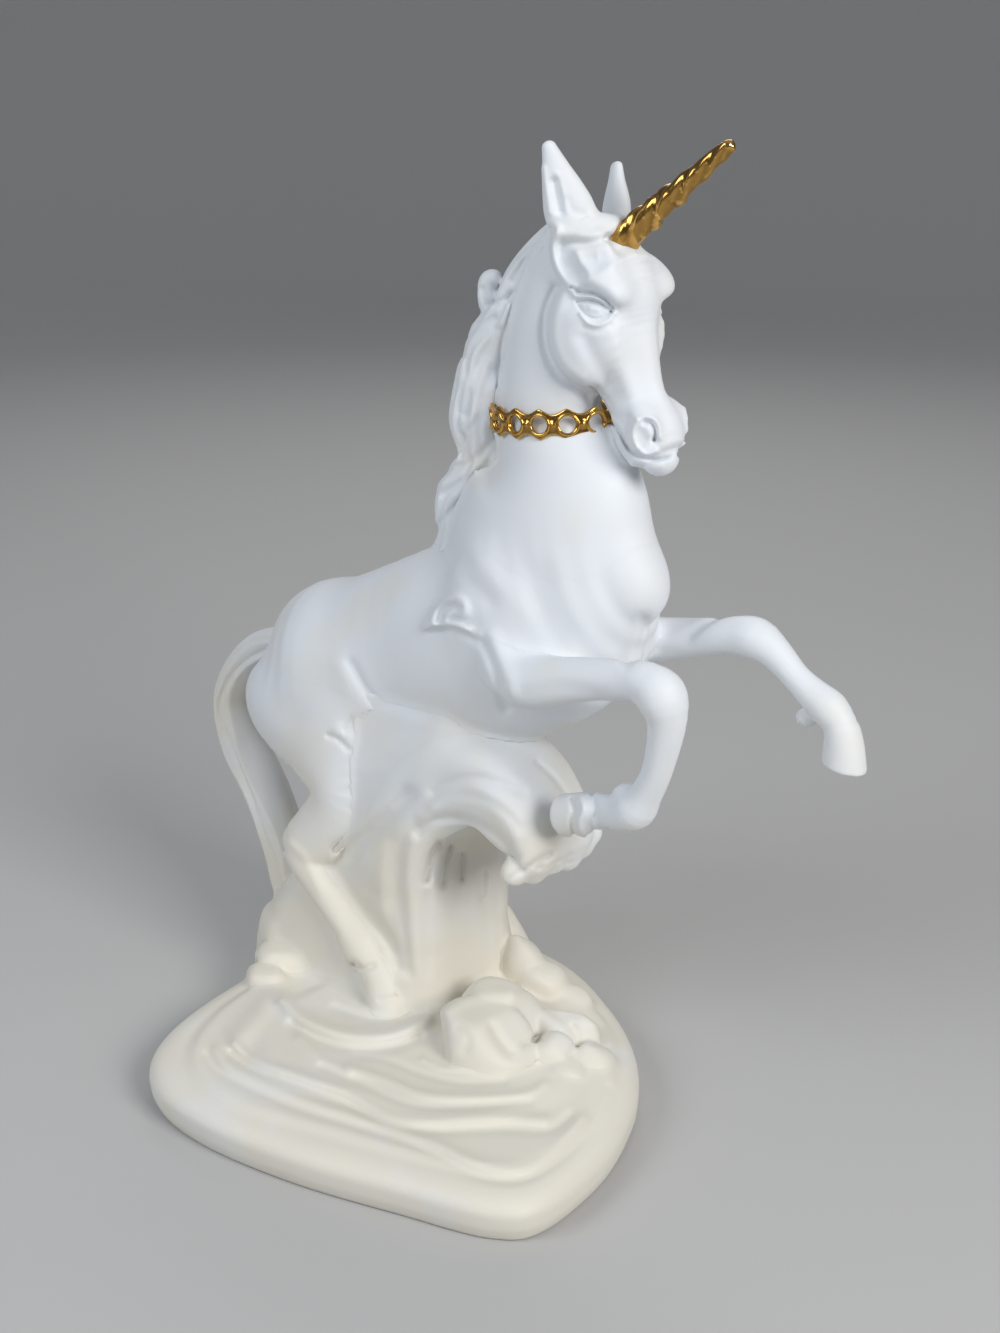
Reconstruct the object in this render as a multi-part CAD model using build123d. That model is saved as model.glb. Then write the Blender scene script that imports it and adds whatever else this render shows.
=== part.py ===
from build123d import *
import os
from math import cos, pi, sin

# Rearing unicorn on a wave, a slip-cast bisque porcelain figurine with a gilded horn and collar.
# Lengths are in millimetres. The origin is on the ground at the middle of the base, the horse
# faces +X, its left side is +Y and +Z is up. Tables of shares hold shares of the named sizes.

# Base
base_length = 168.0
base_width = 158.0
base_rim_height = 15.0
base_step_rise = 1.6
base_wall = 5.0
base_floor = 4.5
base_vent_diameter = 3.0

# Trunk
horse_side_shift = 28.0
rump_set_back = 94.0
rump_height = 117.0
body_length = 145.0
body_rise = 57.0
body_depth = 66.0
body_breadth = 52.0
figure_wall = 3.6

# Neck and head
neck_length = 112.0
neck_depth = 58.0
neck_breadth = 40.0
head_length = 76.0
head_depth = 37.0
head_breadth = 30.0
right_ear_length = 26.0
left_ear_length = 21.0
ear_width = 13.0
ear_thickness = 6.5
forelock_length = 26.0
forelock_width = 13.0
forelock_thickness = 9.0

# Horn
horn_length = 48.0
horn_root_diameter = 9.6
horn_tip_diameter = 3.4
horn_tilt = 37.5
horn_lobes = 3
horn_turns = 1.6
horn_lobe_share = 0.10
horn_rings = 9
peg_diameter = 2.4
peg_length = 14.0

# Mane and tufts
mane_thickness = 24.0
mane_width = 19.0
curl_thickness = 5.4
tuft_length = 26.0
tuft_thickness = 8.0

# Legs and tail
foreleg_length = 60.0
foreleg_girth = 16.0
hind_leg_reach = 50.0
hind_leg_girth = 52.0
tail_sweep = 48.0
tail_girth = 16.0

# Collar
collar_links = 13
collar_height = 9.4
collar_waist_height = 5.8
collar_thickness = 1.2
collar_clearance = 0.35
collar_tilt = 18.0
collar_hole_diameter = 4.8
bezel_wall = 0.8
bezel_height = 0.6
clasp_thickness = 0.9

# Wave and rocks
column_length = 72.0
column_breadth = 54.0
flute_count = 4
flute_diameter = 6.0
hollow_depth = 16.0
hollow_breadth = 27.0
crest_reach = 60.0
crest_height = 24.0
crest_breadth = 38.0
foam_lobes = 5
foam_lobe_diameter = 9.0
splash_length = 34.0
splash_height = 18.0
side_rock_length = 18.0
side_rock_height = 15.0
boulder_length = 36.0
boulder_height = 18.0

# Shared working values
cut_overrun = 2.0
outline_points = 12
round_share = 1.0
oblong_share = 0.62
through_share = 4.0
vent_place_share = 0.2
cavity_floor_share = 0.96
cavity_roof_share = 0.92
link_middle_share = 0.5
flute_back_share = 0.33
ear_foot_share = 0.29
horn_foot_shares = (0.29, -0.04)

# Places on the trunk: along, side, up
neck_root_shares = (0.69, 0.0, 0.74)
elbow_shares = (0.86, 0.84, -0.55)
hip_shares = (0.14, 0.55, 0.0)
dock_shares = (0.04, 0.0, 0.20)
tuft_place_shares = (0.68, 0.94, 0.40)
belly_shares = (0.455, 0.0, 0.0)

# Places on the column: height, forward, side
crest_root_shares = (0.58, 0.0, -0.17)
rear_splash_place_shares = (0.0, -0.88, -0.30)
side_rock_place_shares = (0.0, 0.34, 0.30)
front_rock_place_shares = (0.0, 0.66, -0.50)
hollow_side_share = -0.10
flute_spread_share = 0.8
foam_spread_share = 0.8

# Outline of the base: shares of half its length and half its width, from the front corner
base_outline_shares = [
    (1.0, -0.60), (0.97, -0.20), (0.84, 0.16), (0.62, 0.46), (0.31, 0.70), (-0.07, 0.87),
    (-0.48, 0.86), (-0.82, 0.60), (-1.0, 0.15), (-0.985, -0.35), (-0.87, -0.78),
    (-0.66, -1.015), (-0.33, -1.075), (0.12, -1.01), (0.57, -0.87), (0.88, -0.76),
]

# Levels of the rim: share of the rim height, share of the outline
base_rim_shares = [(0.0, 0.975), (0.3, 0.995), (0.65, 1.0), (0.88, 0.98), (1.0, 0.93)]

# Ripple terraces: share of the outline below and above, shift as shares of the base
base_terrace_shares = [(0.84, 0.80, -0.03, 0.03), (0.66, 0.61, -0.08, 0.08)]

# Trunk stations: along, rise, depth, breadth
body_shares = [
    (0.0, 0.04, 0.26, 0.40), (0.04, 0.05, 0.66, 0.86), (0.13, 0.05, 0.96, 1.10),
    (0.27, 0.16, 1.0, 1.04), (0.41, 0.33, 0.98, 0.94), (0.54, 0.44, 1.05, 0.98),
    (0.69, 0.54, 1.0, 1.02), (0.83, 0.78, 0.98, 0.98), (0.95, 0.96, 0.78, 0.84),
    (1.03, 1.04, 0.42, 0.50),
]

# Neck stations from its root: forward and up as shares of its length, depth, breadth
neck_shares = [
    (0.04, -0.12, 0.90, 0.80), (0.07, 0.0, 1.14, 1.04), (0.11, 0.16, 1.06, 0.96),
    (0.13, 0.30, 0.82, 0.81), (0.12, 0.43, 0.61, 0.65),
    (0.135, 0.56, 0.58, 0.61), (0.16, 0.71, 0.59, 0.58), (0.205, 0.84, 0.54, 0.53),
    (0.25, 0.93, 0.32, 0.36),
]
collar_station = 4

# Head stations from the poll: forward and down as shares of its length, depth, breadth
head_shares = [
    (-0.05, 0.0, 0.48, 0.58), (0.07, 0.17, 0.94, 0.92), (0.12, 0.31, 1.02, 1.0),
    (0.205, 0.50, 0.73, 0.70), (0.27, 0.63, 0.57, 0.57), (0.32, 0.74, 0.64, 0.66),
    (0.355, 0.82, 0.54, 0.57), (0.37, 0.865, 0.28, 0.38),
]

# Limb stations: forward, to its own side, up and girth, as shares of the limb's sizes
foreleg_right_shares = [
    (-0.20, 0.02, 0.10, 1.05), (-0.12, 0.06, 0.02, 1.14), (0.06, 0.08, 0.0, 1.04),
    (0.38, 0.08, 0.08, 0.84), (0.74, 0.07, 0.14, 0.73), (0.87, 0.07, 0.11, 0.86),
    (0.89, 0.05, -0.04, 0.70), (0.83, 0.04, -0.28, 0.57), (0.75, 0.03, -0.45, 0.70),
    (0.65, 0.02, -0.55, 0.84), (0.48, 0.0, -0.60, 0.68), (0.38, 0.0, -0.62, 0.82),
    (0.22, -0.01, -0.69, 0.74),
]
foreleg_left_shares = [
    (-0.08, -0.10, 0.04, 1.16), (0.10, -0.06, 0.08, 1.10), (0.28, -0.02, 0.12, 0.94),
    (0.52, 0.0, 0.18, 0.80), (0.76, 0.0, 0.25, 0.76), (0.88, 0.0, 0.25, 0.84),
    (1.0, 0.0, 0.18, 0.62), (1.11, 0.0, 0.08, 0.56), (1.23, 0.0, -0.01, 0.66),
    (1.33, 0.0, -0.06, 0.78), (1.39, 0.0, -0.15, 0.70), (1.42, 0.0, -0.24, 0.78),
    (1.44, 0.0, -0.38, 0.50),
]

# Hind leg stations: forward, to its own side, height from the ground to the hip, depth, breadth
hind_leg_shares = [
    (0.03, -0.09, 1.18, 0.50, 0.31), (0.11, -0.03, 1.04, 1.20, 0.50),
    (0.23, 0.025, 0.893, 1.42, 0.52), (0.30, 0.075, 0.755, 1.04, 0.485),
    (0.40, 0.127, 0.637, 0.53, 0.36), (0.285, 0.18, 0.54, 0.37, 0.285),
    (0.12, 0.23, 0.427, 0.30, 0.225), (0.24, 0.237, 0.348, 0.22, 0.20),
    (0.40, 0.24, 0.271, 0.20, 0.18), (0.575, 0.256, 0.205, 0.20, 0.19),
    (0.71, 0.26, 0.16, 0.245, 0.225), (0.83, 0.28, 0.114, 0.22, 0.21),
    (0.93, 0.28, 0.07, 0.27, 0.25), (1.01, 0.30, -0.02, 0.28, 0.26),
]

# Tail stations: backward, to the right side, height, girth
tail_shares = [
    (0.0, 0.0, 1.0, 0.60), (0.20, 0.0, 1.03, 0.69), (0.46, 0.0, 1.03, 0.69),
    (0.74, 0.0, 0.94, 0.75), (0.90, 0.01, 0.82, 0.81), (0.93, 0.02, 0.715, 0.88),
    (0.80, 0.08, 0.57, 1.0), (0.50, 0.17, 0.445, 1.04), (0.21, 0.25, 0.29, 1.0),
    (0.04, 0.31, 0.19, 0.875), (-0.07, 0.35, 0.115, 0.75), (-0.15, 0.375, 0.02, 0.62),
]

# Mane stations on the neck: height on the neck, backward share, thickness, width
mane_upper_shares = [
    (0.945, 0.42, 0.42, 0.56), (0.86, 0.55, 0.58, 0.84), (0.79, 0.65, 0.68, 0.94),
    (0.69, 0.68, 0.80, 1.0), (0.60, 0.88, 0.92, 1.0), (0.49, 0.92, 0.94, 1.0),
]
mane_lower_shares = [
    (0.49, 0.92, 0.94, 1.0), (0.40, 1.02, 1.0, 1.0), (0.27, 0.94, 0.90, 0.94),
    (0.17, 1.08, 0.88, 0.88), (0.06, 1.06, 0.76, 0.76), (-0.04, 1.0, 0.50, 0.56),
]
curl_shares = [
    (0.715, 0.88, 1.0), (0.73, 1.12, 0.95), (0.765, 1.20, 0.80), (0.80, 1.13, 0.58),
]

# Ear stations from the poll: up, outward, width, thickness
ear_shares = [
    (-0.30, 0.0, 0.80, 0.80), (0.08, 0.04, 1.0, 1.0), (0.40, 0.14, 0.88, 0.90),
    (0.74, 0.27, 0.56, 0.62), (1.0, 0.36, 0.14, 0.18),
]

# Forelock stations from the poll: forward, to the right, up, thickness, width
forelock_shares = [
    (-0.10, 0.0, 0.10, 0.70, 0.80), (0.14, 0.04, 0.22, 0.80, 1.0), (0.38, 0.20, 0.12, 0.76, 1.0),
    (0.50, 0.38, -0.20, 0.60, 0.80), (0.50, 0.46, -0.52, 0.34, 0.50),
]

# Shoulder tuft stations from its middle: backward, up, thickness
tuft_shares = [
    (0.48, -0.14, 0.56), (0.30, 0.10, 0.80), (0.04, 0.18, 1.0), (-0.22, 0.10, 0.94), (-0.44, -0.10, 0.60),
]

# Column of water: height from the base to the trunk, forward and side shift, length, breadth
column_shares = [
    (-0.12, -0.38, 0.0, 1.32, 1.15), (0.02, -0.38, 0.0, 1.28, 1.07), (0.16, -0.32, 0.0, 1.15, 1.0),
    (0.32, -0.18, 0.0, 0.945, 0.945), (0.50, -0.10, 0.0, 0.82, 0.925), (0.68, -0.04, 0.0, 0.85, 0.925),
    (0.86, 0.02, 0.0, 0.875, 0.85), (1.04, 0.07, 0.0, 0.78, 0.70),
]

# Crest: forward as a share of its reach, up as a share of its height, thickness, breadth
crest_shares = [
    (0.07, -0.20, 1.22, 0.94), (0.23, 0.30, 1.27, 0.97), (0.47, 0.66, 1.30, 0.98),
    (0.71, 0.66, 1.25, 0.98), (0.89, 0.35, 0.98, 0.96), (0.99, 0.0, 0.50, 0.88),
]

# Hollow under the crest: height in the column, forward share, depth, breadth
hollow_shares = [
    (0.02, 0.26, 0.50, 0.72), (0.20, 0.28, 0.70, 0.92), (0.44, 0.30, 0.96, 1.0), (0.66, 0.30, 0.80, 0.84),
]

# Rocks: forward, side, length, width, height, turn in degrees
rear_splash_shares = [
    (0.0, 0.0, 0.86, 0.74, 0.90, 10.0), (-0.16, 0.42, 0.62, 0.56, 0.66, 40.0),
    (0.20, -0.38, 0.60, 0.50, 0.56, -20.0),
]
side_rock_shares = [
    (0.0, 0.0, 0.90, 0.76, 1.0, 0.0), (0.56, -0.10, 0.72, 0.62, 0.66, 30.0),
    (-0.30, 0.56, 0.80, 0.62, 0.62, -25.0),
]
front_rock_shares = [
    (-0.05, -0.11, 1.14, 0.88, 0.90, 34.0), (-0.33, 0.34, 0.90, 0.70, 0.86, 12.0),
    (0.22, 0.60, 0.84, 0.50, 0.50, 10.0), (0.62, 0.36, 0.62, 0.58, 0.45, 65.0),
]
rock_level_shares = [(-0.45, 1.10), (0.10, 1.0), (0.62, 0.80), (0.92, 0.46)]
rock_corner_shares = [1.0, 0.88, 0.97, 0.84, 1.02, 0.90, 0.95]


def table_value(table, key, share, column):
    """Value in one column of a table where another column has this share, straight between rows."""
    for low, high in zip(table, table[1:]):
        if share <= high[key]:
            part = (share - low[key]) / (high[key] - low[key])
            return low[column] + part * (high[column] - low[column])
    return table[-1][column]


def body_point(along, side, up):
    """Point of the trunk, by shares of its length, of its half breadth and of its half depth."""
    rise = table_value(body_shares, 0, along, 1)
    deep = table_value(body_shares, 0, along, 2) * body_depth / 2
    broad = table_value(body_shares, 0, along, 3) * body_breadth / 2
    x = -rump_set_back + along * body_length
    return Vector(x, horse_side_shift + side * broad, rump_height + rise * body_rise + up * deep)


def neck_point(up, backward=0.0):
    """Point in the horse's middle plane, by a share of the neck's length and of its half depth."""
    root = body_point(*neck_root_shares)
    forward = table_value(neck_shares, 1, up, 0)
    return root + Vector(forward * neck_length - backward * neck_depth / 2, 0, up * neck_length)


def fuller(value, share):
    """A cosine or sine drawn towards the corners of its square; a share of 1 leaves it round."""
    return abs(value) ** share * (1 if value >= 0 else -1)


def oval(centre, run, deep, broad, lobes=0, lobe_share=0.0, twist=0.0, share=round_share):
    """Closed outline square to run, with the breadth across the horse."""
    run = run.normalized()
    side = Vector(0, 1, 0)
    side = (side - run * side.dot(run)).normalized()
    up = run.cross(side)
    points = []
    for step in range(outline_points):
        angle = 2 * pi * step / outline_points
        swell = 1 + lobe_share * cos(lobes * angle + twist)
        across = side * (broad * fuller(cos(angle), share))
        along = up * (deep * fuller(sin(angle), share))
        points.append(centre + (across + along) * swell)
    return Face(Wire([Edge.make_spline(points, periodic=True)]))


def limb(stations, share=round_share):
    """Smooth solid through stations, each a centre with a half depth and a half breadth."""
    centres = [station[0] for station in stations]
    outlines = []
    for place, (centre, deep, broad) in enumerate(stations):
        before = centres[max(place - 1, 0)]
        after = centres[min(place + 1, len(centres) - 1)]
        outlines.append(oval(centre, after - before, deep, broad, share=share))
    return loft(outlines)


def biggest(shape):
    """The largest solid of a shape."""
    return max(shape.solids(), key=lambda solid: solid.volume)


def body_stations(wall=0.0):
    """Centre, half depth and half breadth of each trunk station, less a wall."""
    stations = []
    for along, rise, deep, broad in body_shares:
        half_deep = deep * body_depth / 2 - wall
        half_broad = broad * body_breadth / 2 - wall
        stations.append((body_point(along, 0, 0), half_deep, half_broad))
    return stations


def neck_stations(wall=0.0):
    """Centre, half depth and half breadth of each neck station, less a wall."""
    stations = []
    for forward, up, deep, broad in neck_shares:
        half_deep = deep * neck_depth / 2 - wall
        half_broad = broad * neck_breadth / 2 - wall
        stations.append((neck_point(up), half_deep, half_broad))
    return stations


def poll_point():
    """Top of the neck, where the head is luted on."""
    return neck_stations()[-1][0]


def make_head_form():
    """Head casting before the horn socket is cut."""
    stations = []
    for forward, down, deep, broad in head_shares:
        centre = poll_point() + Vector(forward * head_length, 0, -down * head_length)
        stations.append((centre, deep * head_depth / 2, broad * head_breadth / 2))
    return limb(stations)


def make_neck(form, torso_form, head_form, space):
    """Hollow neck casting with a shallow seat where the collar goes round."""
    hollow = limb(neck_stations(figure_wall)[1:-1])
    return biggest(form - torso_form - head_form - hollow - space)


def foreleg(side_sign, shares):
    """Foreleg from its root in the shoulder to the tip of the hoof."""
    along, side, up = elbow_shares
    root = body_point(along, side_sign * side, up)
    stations = []
    for forward, outward, rise, girth in shares:
        reach = Vector(forward, side_sign * outward, rise) * foreleg_length
        half = girth * foreleg_girth / 2
        stations.append((root + reach, half, half))
    return limb(stations)


def base_top():
    """Height of the upper ripple terrace."""
    return base_rim_height + base_step_rise * len(base_terrace_shares)


def hind_leg(side_sign):
    """Hind leg from the haunch to the hoof on the upper terrace."""
    along, side, up = hip_shares
    hip = body_point(along, side_sign * side, up)
    drop = hip.Z - base_top()
    stations = []
    for forward, outward, height, deep, broad in hind_leg_shares:
        x = hip.X + forward * hind_leg_reach
        y = hip.Y + side_sign * outward * body_breadth
        place = Vector(x, y, base_top() + height * drop)
        stations.append((place, deep * hind_leg_girth / 2, broad * hind_leg_girth / 2))
    return limb(stations)


def make_tail():
    """Tail from the dock down to the splash behind the column."""
    dock = body_point(*dock_shares)
    drop = dock.Z - base_top()
    stations = []
    for backward, rightward, height, girth in tail_shares:
        x = dock.X - backward * tail_sweep
        y = dock.Y - rightward * tail_sweep
        place = Vector(x, y, base_top() + height * drop)
        stations.append((place, girth * tail_girth / 2, girth * tail_girth / 2))
    return limb(stations)


def mane(shares):
    """One length of mane along the back of the neck."""
    stations = []
    for up, backward, thick, wide in shares:
        place = neck_point(up, backward)
        stations.append((place, thick * mane_thickness / 2, wide * mane_width / 2))
    return limb(stations)


def make_curl():
    """Small upturned curl at the back of the upper mane."""
    stations = []
    for up, backward, thick in curl_shares:
        half = thick * curl_thickness / 2
        stations.append((neck_point(up, backward), half, half))
    return limb(stations)


def make_tuft(side_sign):
    """Curled lock behind the shoulder, half sunk in the trunk's side."""
    along, side, high = tuft_place_shares
    middle = body_point(along, side_sign * side, high)
    stations = []
    for backward, up, thick in tuft_shares:
        half = thick * tuft_thickness / 2
        stations.append((middle + Vector(-backward, 0, up) * tuft_length, half, half))
    return limb(stations)


def ear(side_sign, length):
    """Pricked ear standing on the poll."""
    foot = poll_point() + Vector(0, side_sign * ear_foot_share * head_breadth, 0)
    stations = []
    for up, outward, wide, thick in ear_shares:
        place = foot + Vector(0, side_sign * outward, up) * length
        stations.append((place, wide * ear_width / 2, thick * ear_thickness / 2))
    return limb(stations)


def make_forelock():
    """Lock of mane that falls from the poll over the right of the forehead."""
    stations = []
    for forward, rightward, up, thick, wide in forelock_shares:
        place = poll_point() + Vector(forward, -rightward, up) * forelock_length
        stations.append((place, thick * forelock_thickness / 2, wide * forelock_width / 2))
    return limb(stations)


def horn_plane():
    """Plane of the horn's foot, square to the horn."""
    forward, up = horn_foot_shares
    foot = poll_point() + Vector(forward, 0, up) * head_depth
    tilt = horn_tilt * pi / 180
    return Plane(origin=foot, x_dir=(0, 1, 0), z_dir=(cos(tilt), 0, sin(tilt)))


def make_horn():
    """Spiral gilded horn with a blunt tip."""
    plane = horn_plane()
    outlines = []
    for ring in range(horn_rings + 1):
        along = ring / horn_rings
        centre = plane.origin + plane.z_dir * (along * horn_length)
        half = (horn_root_diameter + along * (horn_tip_diameter - horn_root_diameter)) / 2
        twist = 2 * pi * horn_turns * along
        outlines.append(oval(centre, plane.z_dir, half, half, horn_lobes, horn_lobe_share, twist))
    return loft(outlines)


def make_peg():
    """Brass peg cemented into the horn and the forehead."""
    return horn_plane() * Cylinder(peg_diameter / 2, peg_length)


def collar_frame():
    """Plane of the collar, raised at the throat, with its inner half breadth and half depth."""
    centre, deep, broad = neck_stations()[collar_station]
    tilt = collar_tilt * pi / 180
    plane = Plane(origin=centre, x_dir=(cos(tilt), 0, sin(tilt)), z_dir=(-sin(tilt), 0, cos(tilt)))
    return plane, broad + collar_clearance, deep / cos(tilt) + collar_clearance


def collar_ring(inner, outer, height):
    """Upright ring round the neck, between two distances from the collar's inner oval."""
    plane, broad, deep = collar_frame()
    ring = Ellipse(deep + outer, broad + outer) - Ellipse(deep + inner, broad + inner)
    return extrude(plane.offset(-height / 2) * ring, height)


def collar_space():
    """Room that the collar needs in the neck and in the mane."""
    outer = collar_thickness + bezel_height + clasp_thickness + collar_clearance
    return collar_ring(-collar_clearance, outer, collar_height + 2 * collar_clearance)


def link_planes(first):
    """Planes on the collar's outer face, one a link, looking outward; first is in links."""
    plane, broad, deep = collar_frame()
    edge = Edge.make_ellipse(deep + collar_thickness, broad + collar_thickness)
    planes = []
    for link in range(collar_links):
        spot = ((link + first) / collar_links) % 1.0
        along = edge.tangent_at(spot)
        outward = Vector(along.Y, -along.X, 0)
        planes.append(plane * Plane(origin=edge.position_at(spot), x_dir=along, z_dir=outward))
    return planes


def make_collar_band():
    """Pierced band of round links between scalloped edges."""
    band = collar_ring(0, collar_thickness, collar_height)
    hole = Cylinder(collar_hole_diameter / 2, through_share * collar_thickness)
    band -= [spot * hole for spot in link_planes(link_middle_share)]
    notch_side = (collar_height - collar_waist_height) / 2 ** 0.5
    notch = Rotation(0, 0, 45) * Box(notch_side, notch_side, through_share * collar_thickness)
    notches = []
    for spot in link_planes(0.0):
        for edge_side in (-1, 1):
            notches.append(spot * Pos(0, edge_side * collar_height / 2, 0) * notch)
    return biggest(band - notches)


def make_collar_bezels():
    """Raised round rims, one on each link."""
    core = collar_ring(-collar_thickness, collar_thickness, 2 * collar_height)
    hole = collar_hole_diameter / 2
    rim = Cylinder(hole + bezel_wall, 2 * bezel_height + collar_thickness)
    rim -= Cylinder(hole, through_share * (bezel_height + collar_thickness))
    rims = []
    for spot in link_planes(link_middle_share):
        rims.append(biggest(spot * Pos(0, 0, -collar_thickness / 2) * rim - core))
    return rims


def base_outline(share, height, shift_x=0.0, shift_y=0.0, wall=0.0):
    """Closed outline of the base at one height."""
    points = []
    for x, y in base_outline_shares:
        flat_x = x * (base_length / 2 * share - wall) + shift_x * base_length
        flat_y = y * (base_width / 2 * share - wall) + shift_y * base_width
        points.append(Vector(flat_x, flat_y, height))
    return Face(Wire([Edge.make_spline(points, periodic=True)]))


def make_base_form():
    """Base with its rounded rim and stepped ripple terraces."""
    solid = loft([base_outline(share, level * base_rim_height) for level, share in base_rim_shares])
    floor = base_rim_height
    for low, high, shift_x, shift_y in base_terrace_shares:
        bottom = base_outline(low, floor - base_step_rise, shift_x, shift_y)
        top = base_outline(high, floor + base_step_rise, shift_x, shift_y)
        solid += loft([bottom, top])
        floor += base_step_rise
    return solid


def make_base(form):
    """Hollow base casting with a closed floor and a small vent."""
    hollow = loft([
        base_outline(cavity_floor_share, base_floor, wall=base_wall),
        base_outline(cavity_roof_share, base_rim_height - base_wall, wall=base_wall),
    ])
    vent = Cylinder(base_vent_diameter / 2, 2 * base_floor + cut_overrun)
    place = Pos(-vent_place_share * base_length, -vent_place_share * base_width, 0)
    return biggest(form - hollow - place * vent)


def column_point(height, forward, side):
    """Point of the column: share of the height from the base to the trunk, shares of its sizes."""
    middle = body_point(*belly_shares)
    x = middle.X + forward * column_length
    y = middle.Y + side * column_breadth
    return Vector(x, y, base_top() + height * (middle.Z - base_top()))


def column_stations(wall=0.0):
    """Centre, half length and half breadth of each column station, less a wall."""
    stations = []
    for height, forward, side, deep, broad in column_shares:
        half_deep = deep * column_length / 2 - wall
        half_broad = broad * column_breadth / 2 - wall
        stations.append((column_point(height, forward, side), half_deep, half_broad))
    return stations


def make_hollow(wall=0.0):
    """Space under the crest, with flutes down its back wall, all grown by a wall."""
    stations = []
    for height, forward, deep, broad in hollow_shares:
        place = column_point(height, forward, hollow_side_share)
        half_deep = deep * hollow_depth / 2 + wall
        half_broad = broad * hollow_breadth / 2 + wall
        stations.append((place, half_deep, half_broad))
    space = limb(stations)
    low = stations[0][0].Z
    high = stations[-1][0].Z
    flute = Cylinder(flute_diameter / 2 + wall, high - low)
    middle = stations[1][0]
    for place in range(flute_count):
        across = (place + 0.5) / flute_count - 0.5
        y = middle.Y + across * hollow_breadth * flute_spread_share
        space += Pos(middle.X - flute_back_share * hollow_depth, y, (low + high) / 2) * flute
    return space


def make_crest():
    """Curling crest of the wave with foam lobes along its lip."""
    root = column_point(*crest_root_shares)
    stations = []
    for forward, up, thick, broad in crest_shares:
        place = root + Vector(forward * crest_reach, 0, up * crest_height)
        stations.append((place, thick * crest_height / 2, broad * crest_breadth / 2))
    solid = limb(stations, oblong_share)
    lip = stations[-1][0]
    for lobe in range(foam_lobes):
        across = (lobe + 0.5) / foam_lobes - 0.5
        y = lip.Y + across * crest_breadth * foam_spread_share
        solid += Pos(lip.X, y, lip.Z) * Sphere(foam_lobe_diameter / 2)
    return solid


def rock(place, long, wide, high, turn):
    """One faceted boulder that starts below the ground it stands on."""
    corners = len(rock_corner_shares)
    outlines = []
    for level, size in rock_level_shares:
        points = []
        for corner, reach in enumerate(rock_corner_shares):
            angle = 2 * pi * corner / corners
            x = long / 2 * size * reach * cos(angle)
            y = wide / 2 * size * reach * sin(angle)
            points.append(Vector(x, y, level * high))
        outlines.append(Face(Wire.make_polygon(points, close=True)))
    return Pos(place.X, place.Y, place.Z) * Rotation(0, 0, turn) * loft(outlines, ruled=True)


def rocks(place, shares, length, height):
    """Cluster of boulders fused into one casting."""
    cluster = None
    for forward, side, long, wide, high, turn in shares:
        spot = place + Vector(forward * length, side * length, 0)
        stone = rock(spot, long * length, wide * length, high * height, turn)
        cluster = stone if cluster is None else cluster + stone
    return cluster


def write(name, shape):
    """Write one sub-part."""
    export_step(shape, f"parts/{name}.step")


def main():
    os.makedirs("parts", exist_ok=True)
    torso_form = limb(body_stations())
    neck_form = limb(neck_stations())
    head_form = make_head_form()
    column_form = limb(column_stations(), oblong_share)
    base_form = make_base_form()
    space = collar_space()

    write("base", make_base(base_form))
    write("torso", biggest(torso_form - limb(body_stations(figure_wall)[1:-1])))
    write("neck", make_neck(neck_form, torso_form, head_form, space))
    peg = make_peg()
    write("horn_peg", peg)
    write("head", biggest(head_form - peg))
    horn = biggest(make_horn() - head_form - peg)
    write("horn", horn)
    ears = {}
    for side, sign, length in (("right", -1, right_ear_length), ("left", 1, left_ear_length)):
        ears[side] = biggest(ear(sign, length) - head_form - neck_form)
        write(f"ear_{side}", ears[side])
    write("forelock", biggest(make_forelock() - head_form - neck_form - horn - ears["right"] - ears["left"]))

    column = column_form - torso_form - base_form - make_hollow()
    crest = biggest(make_crest() - torso_form - column_form)
    write("wave_crest", crest)
    body = neck_form + torso_form
    write("foreleg_right", biggest(foreleg(-1, foreleg_right_shares) - body - crest))
    write("foreleg_left", biggest(foreleg(1, foreleg_left_shares) - body))
    hinds = {}
    for side, sign in (("right", -1), ("left", 1)):
        hinds[side] = biggest(hind_leg(sign) - torso_form - base_form)
        write(f"hindleg_{side}", hinds[side])
        column -= hinds[side]
        write(f"shoulder_tuft_{side}", biggest(make_tuft(sign) - body))
    cavity = limb(column_stations(figure_wall)[1:-1], oblong_share) - make_hollow(figure_wall)
    column = biggest(column - cavity)
    write("wave_column", column)

    rear = rocks(column_point(*rear_splash_place_shares), rear_splash_shares, splash_length, splash_height)
    rear = biggest(rear - base_form - column_form - hinds["right"])
    write("splash_rear", rear)
    write("tail", biggest(make_tail() - torso_form - hinds["right"] - column_form - base_form - rear))
    spot = column_point(*side_rock_place_shares)
    side_rocks = rocks(spot, side_rock_shares, side_rock_length, side_rock_height)
    write("rocks_side", biggest(side_rocks - base_form - column_form - hinds["left"]))
    spot = column_point(*front_rock_place_shares)
    front_rocks = rocks(spot, front_rock_shares, boulder_length, boulder_height)
    write("rocks_front", biggest(front_rocks - base_form - column_form))

    upper_form = mane(mane_upper_shares) + make_curl()
    upper = upper_form - body - head_form - space - ears["right"] - ears["left"]
    write("mane_upper", biggest(upper))
    write("mane_lower", biggest(mane(mane_lower_shares) - upper_form - body - space))

    write("collar_band", make_collar_band())
    write("collar_bezels", Compound(children=make_collar_bezels()))


main()
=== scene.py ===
import math
from concurrent.futures import ThreadPoolExecutor
from copy import copy

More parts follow.
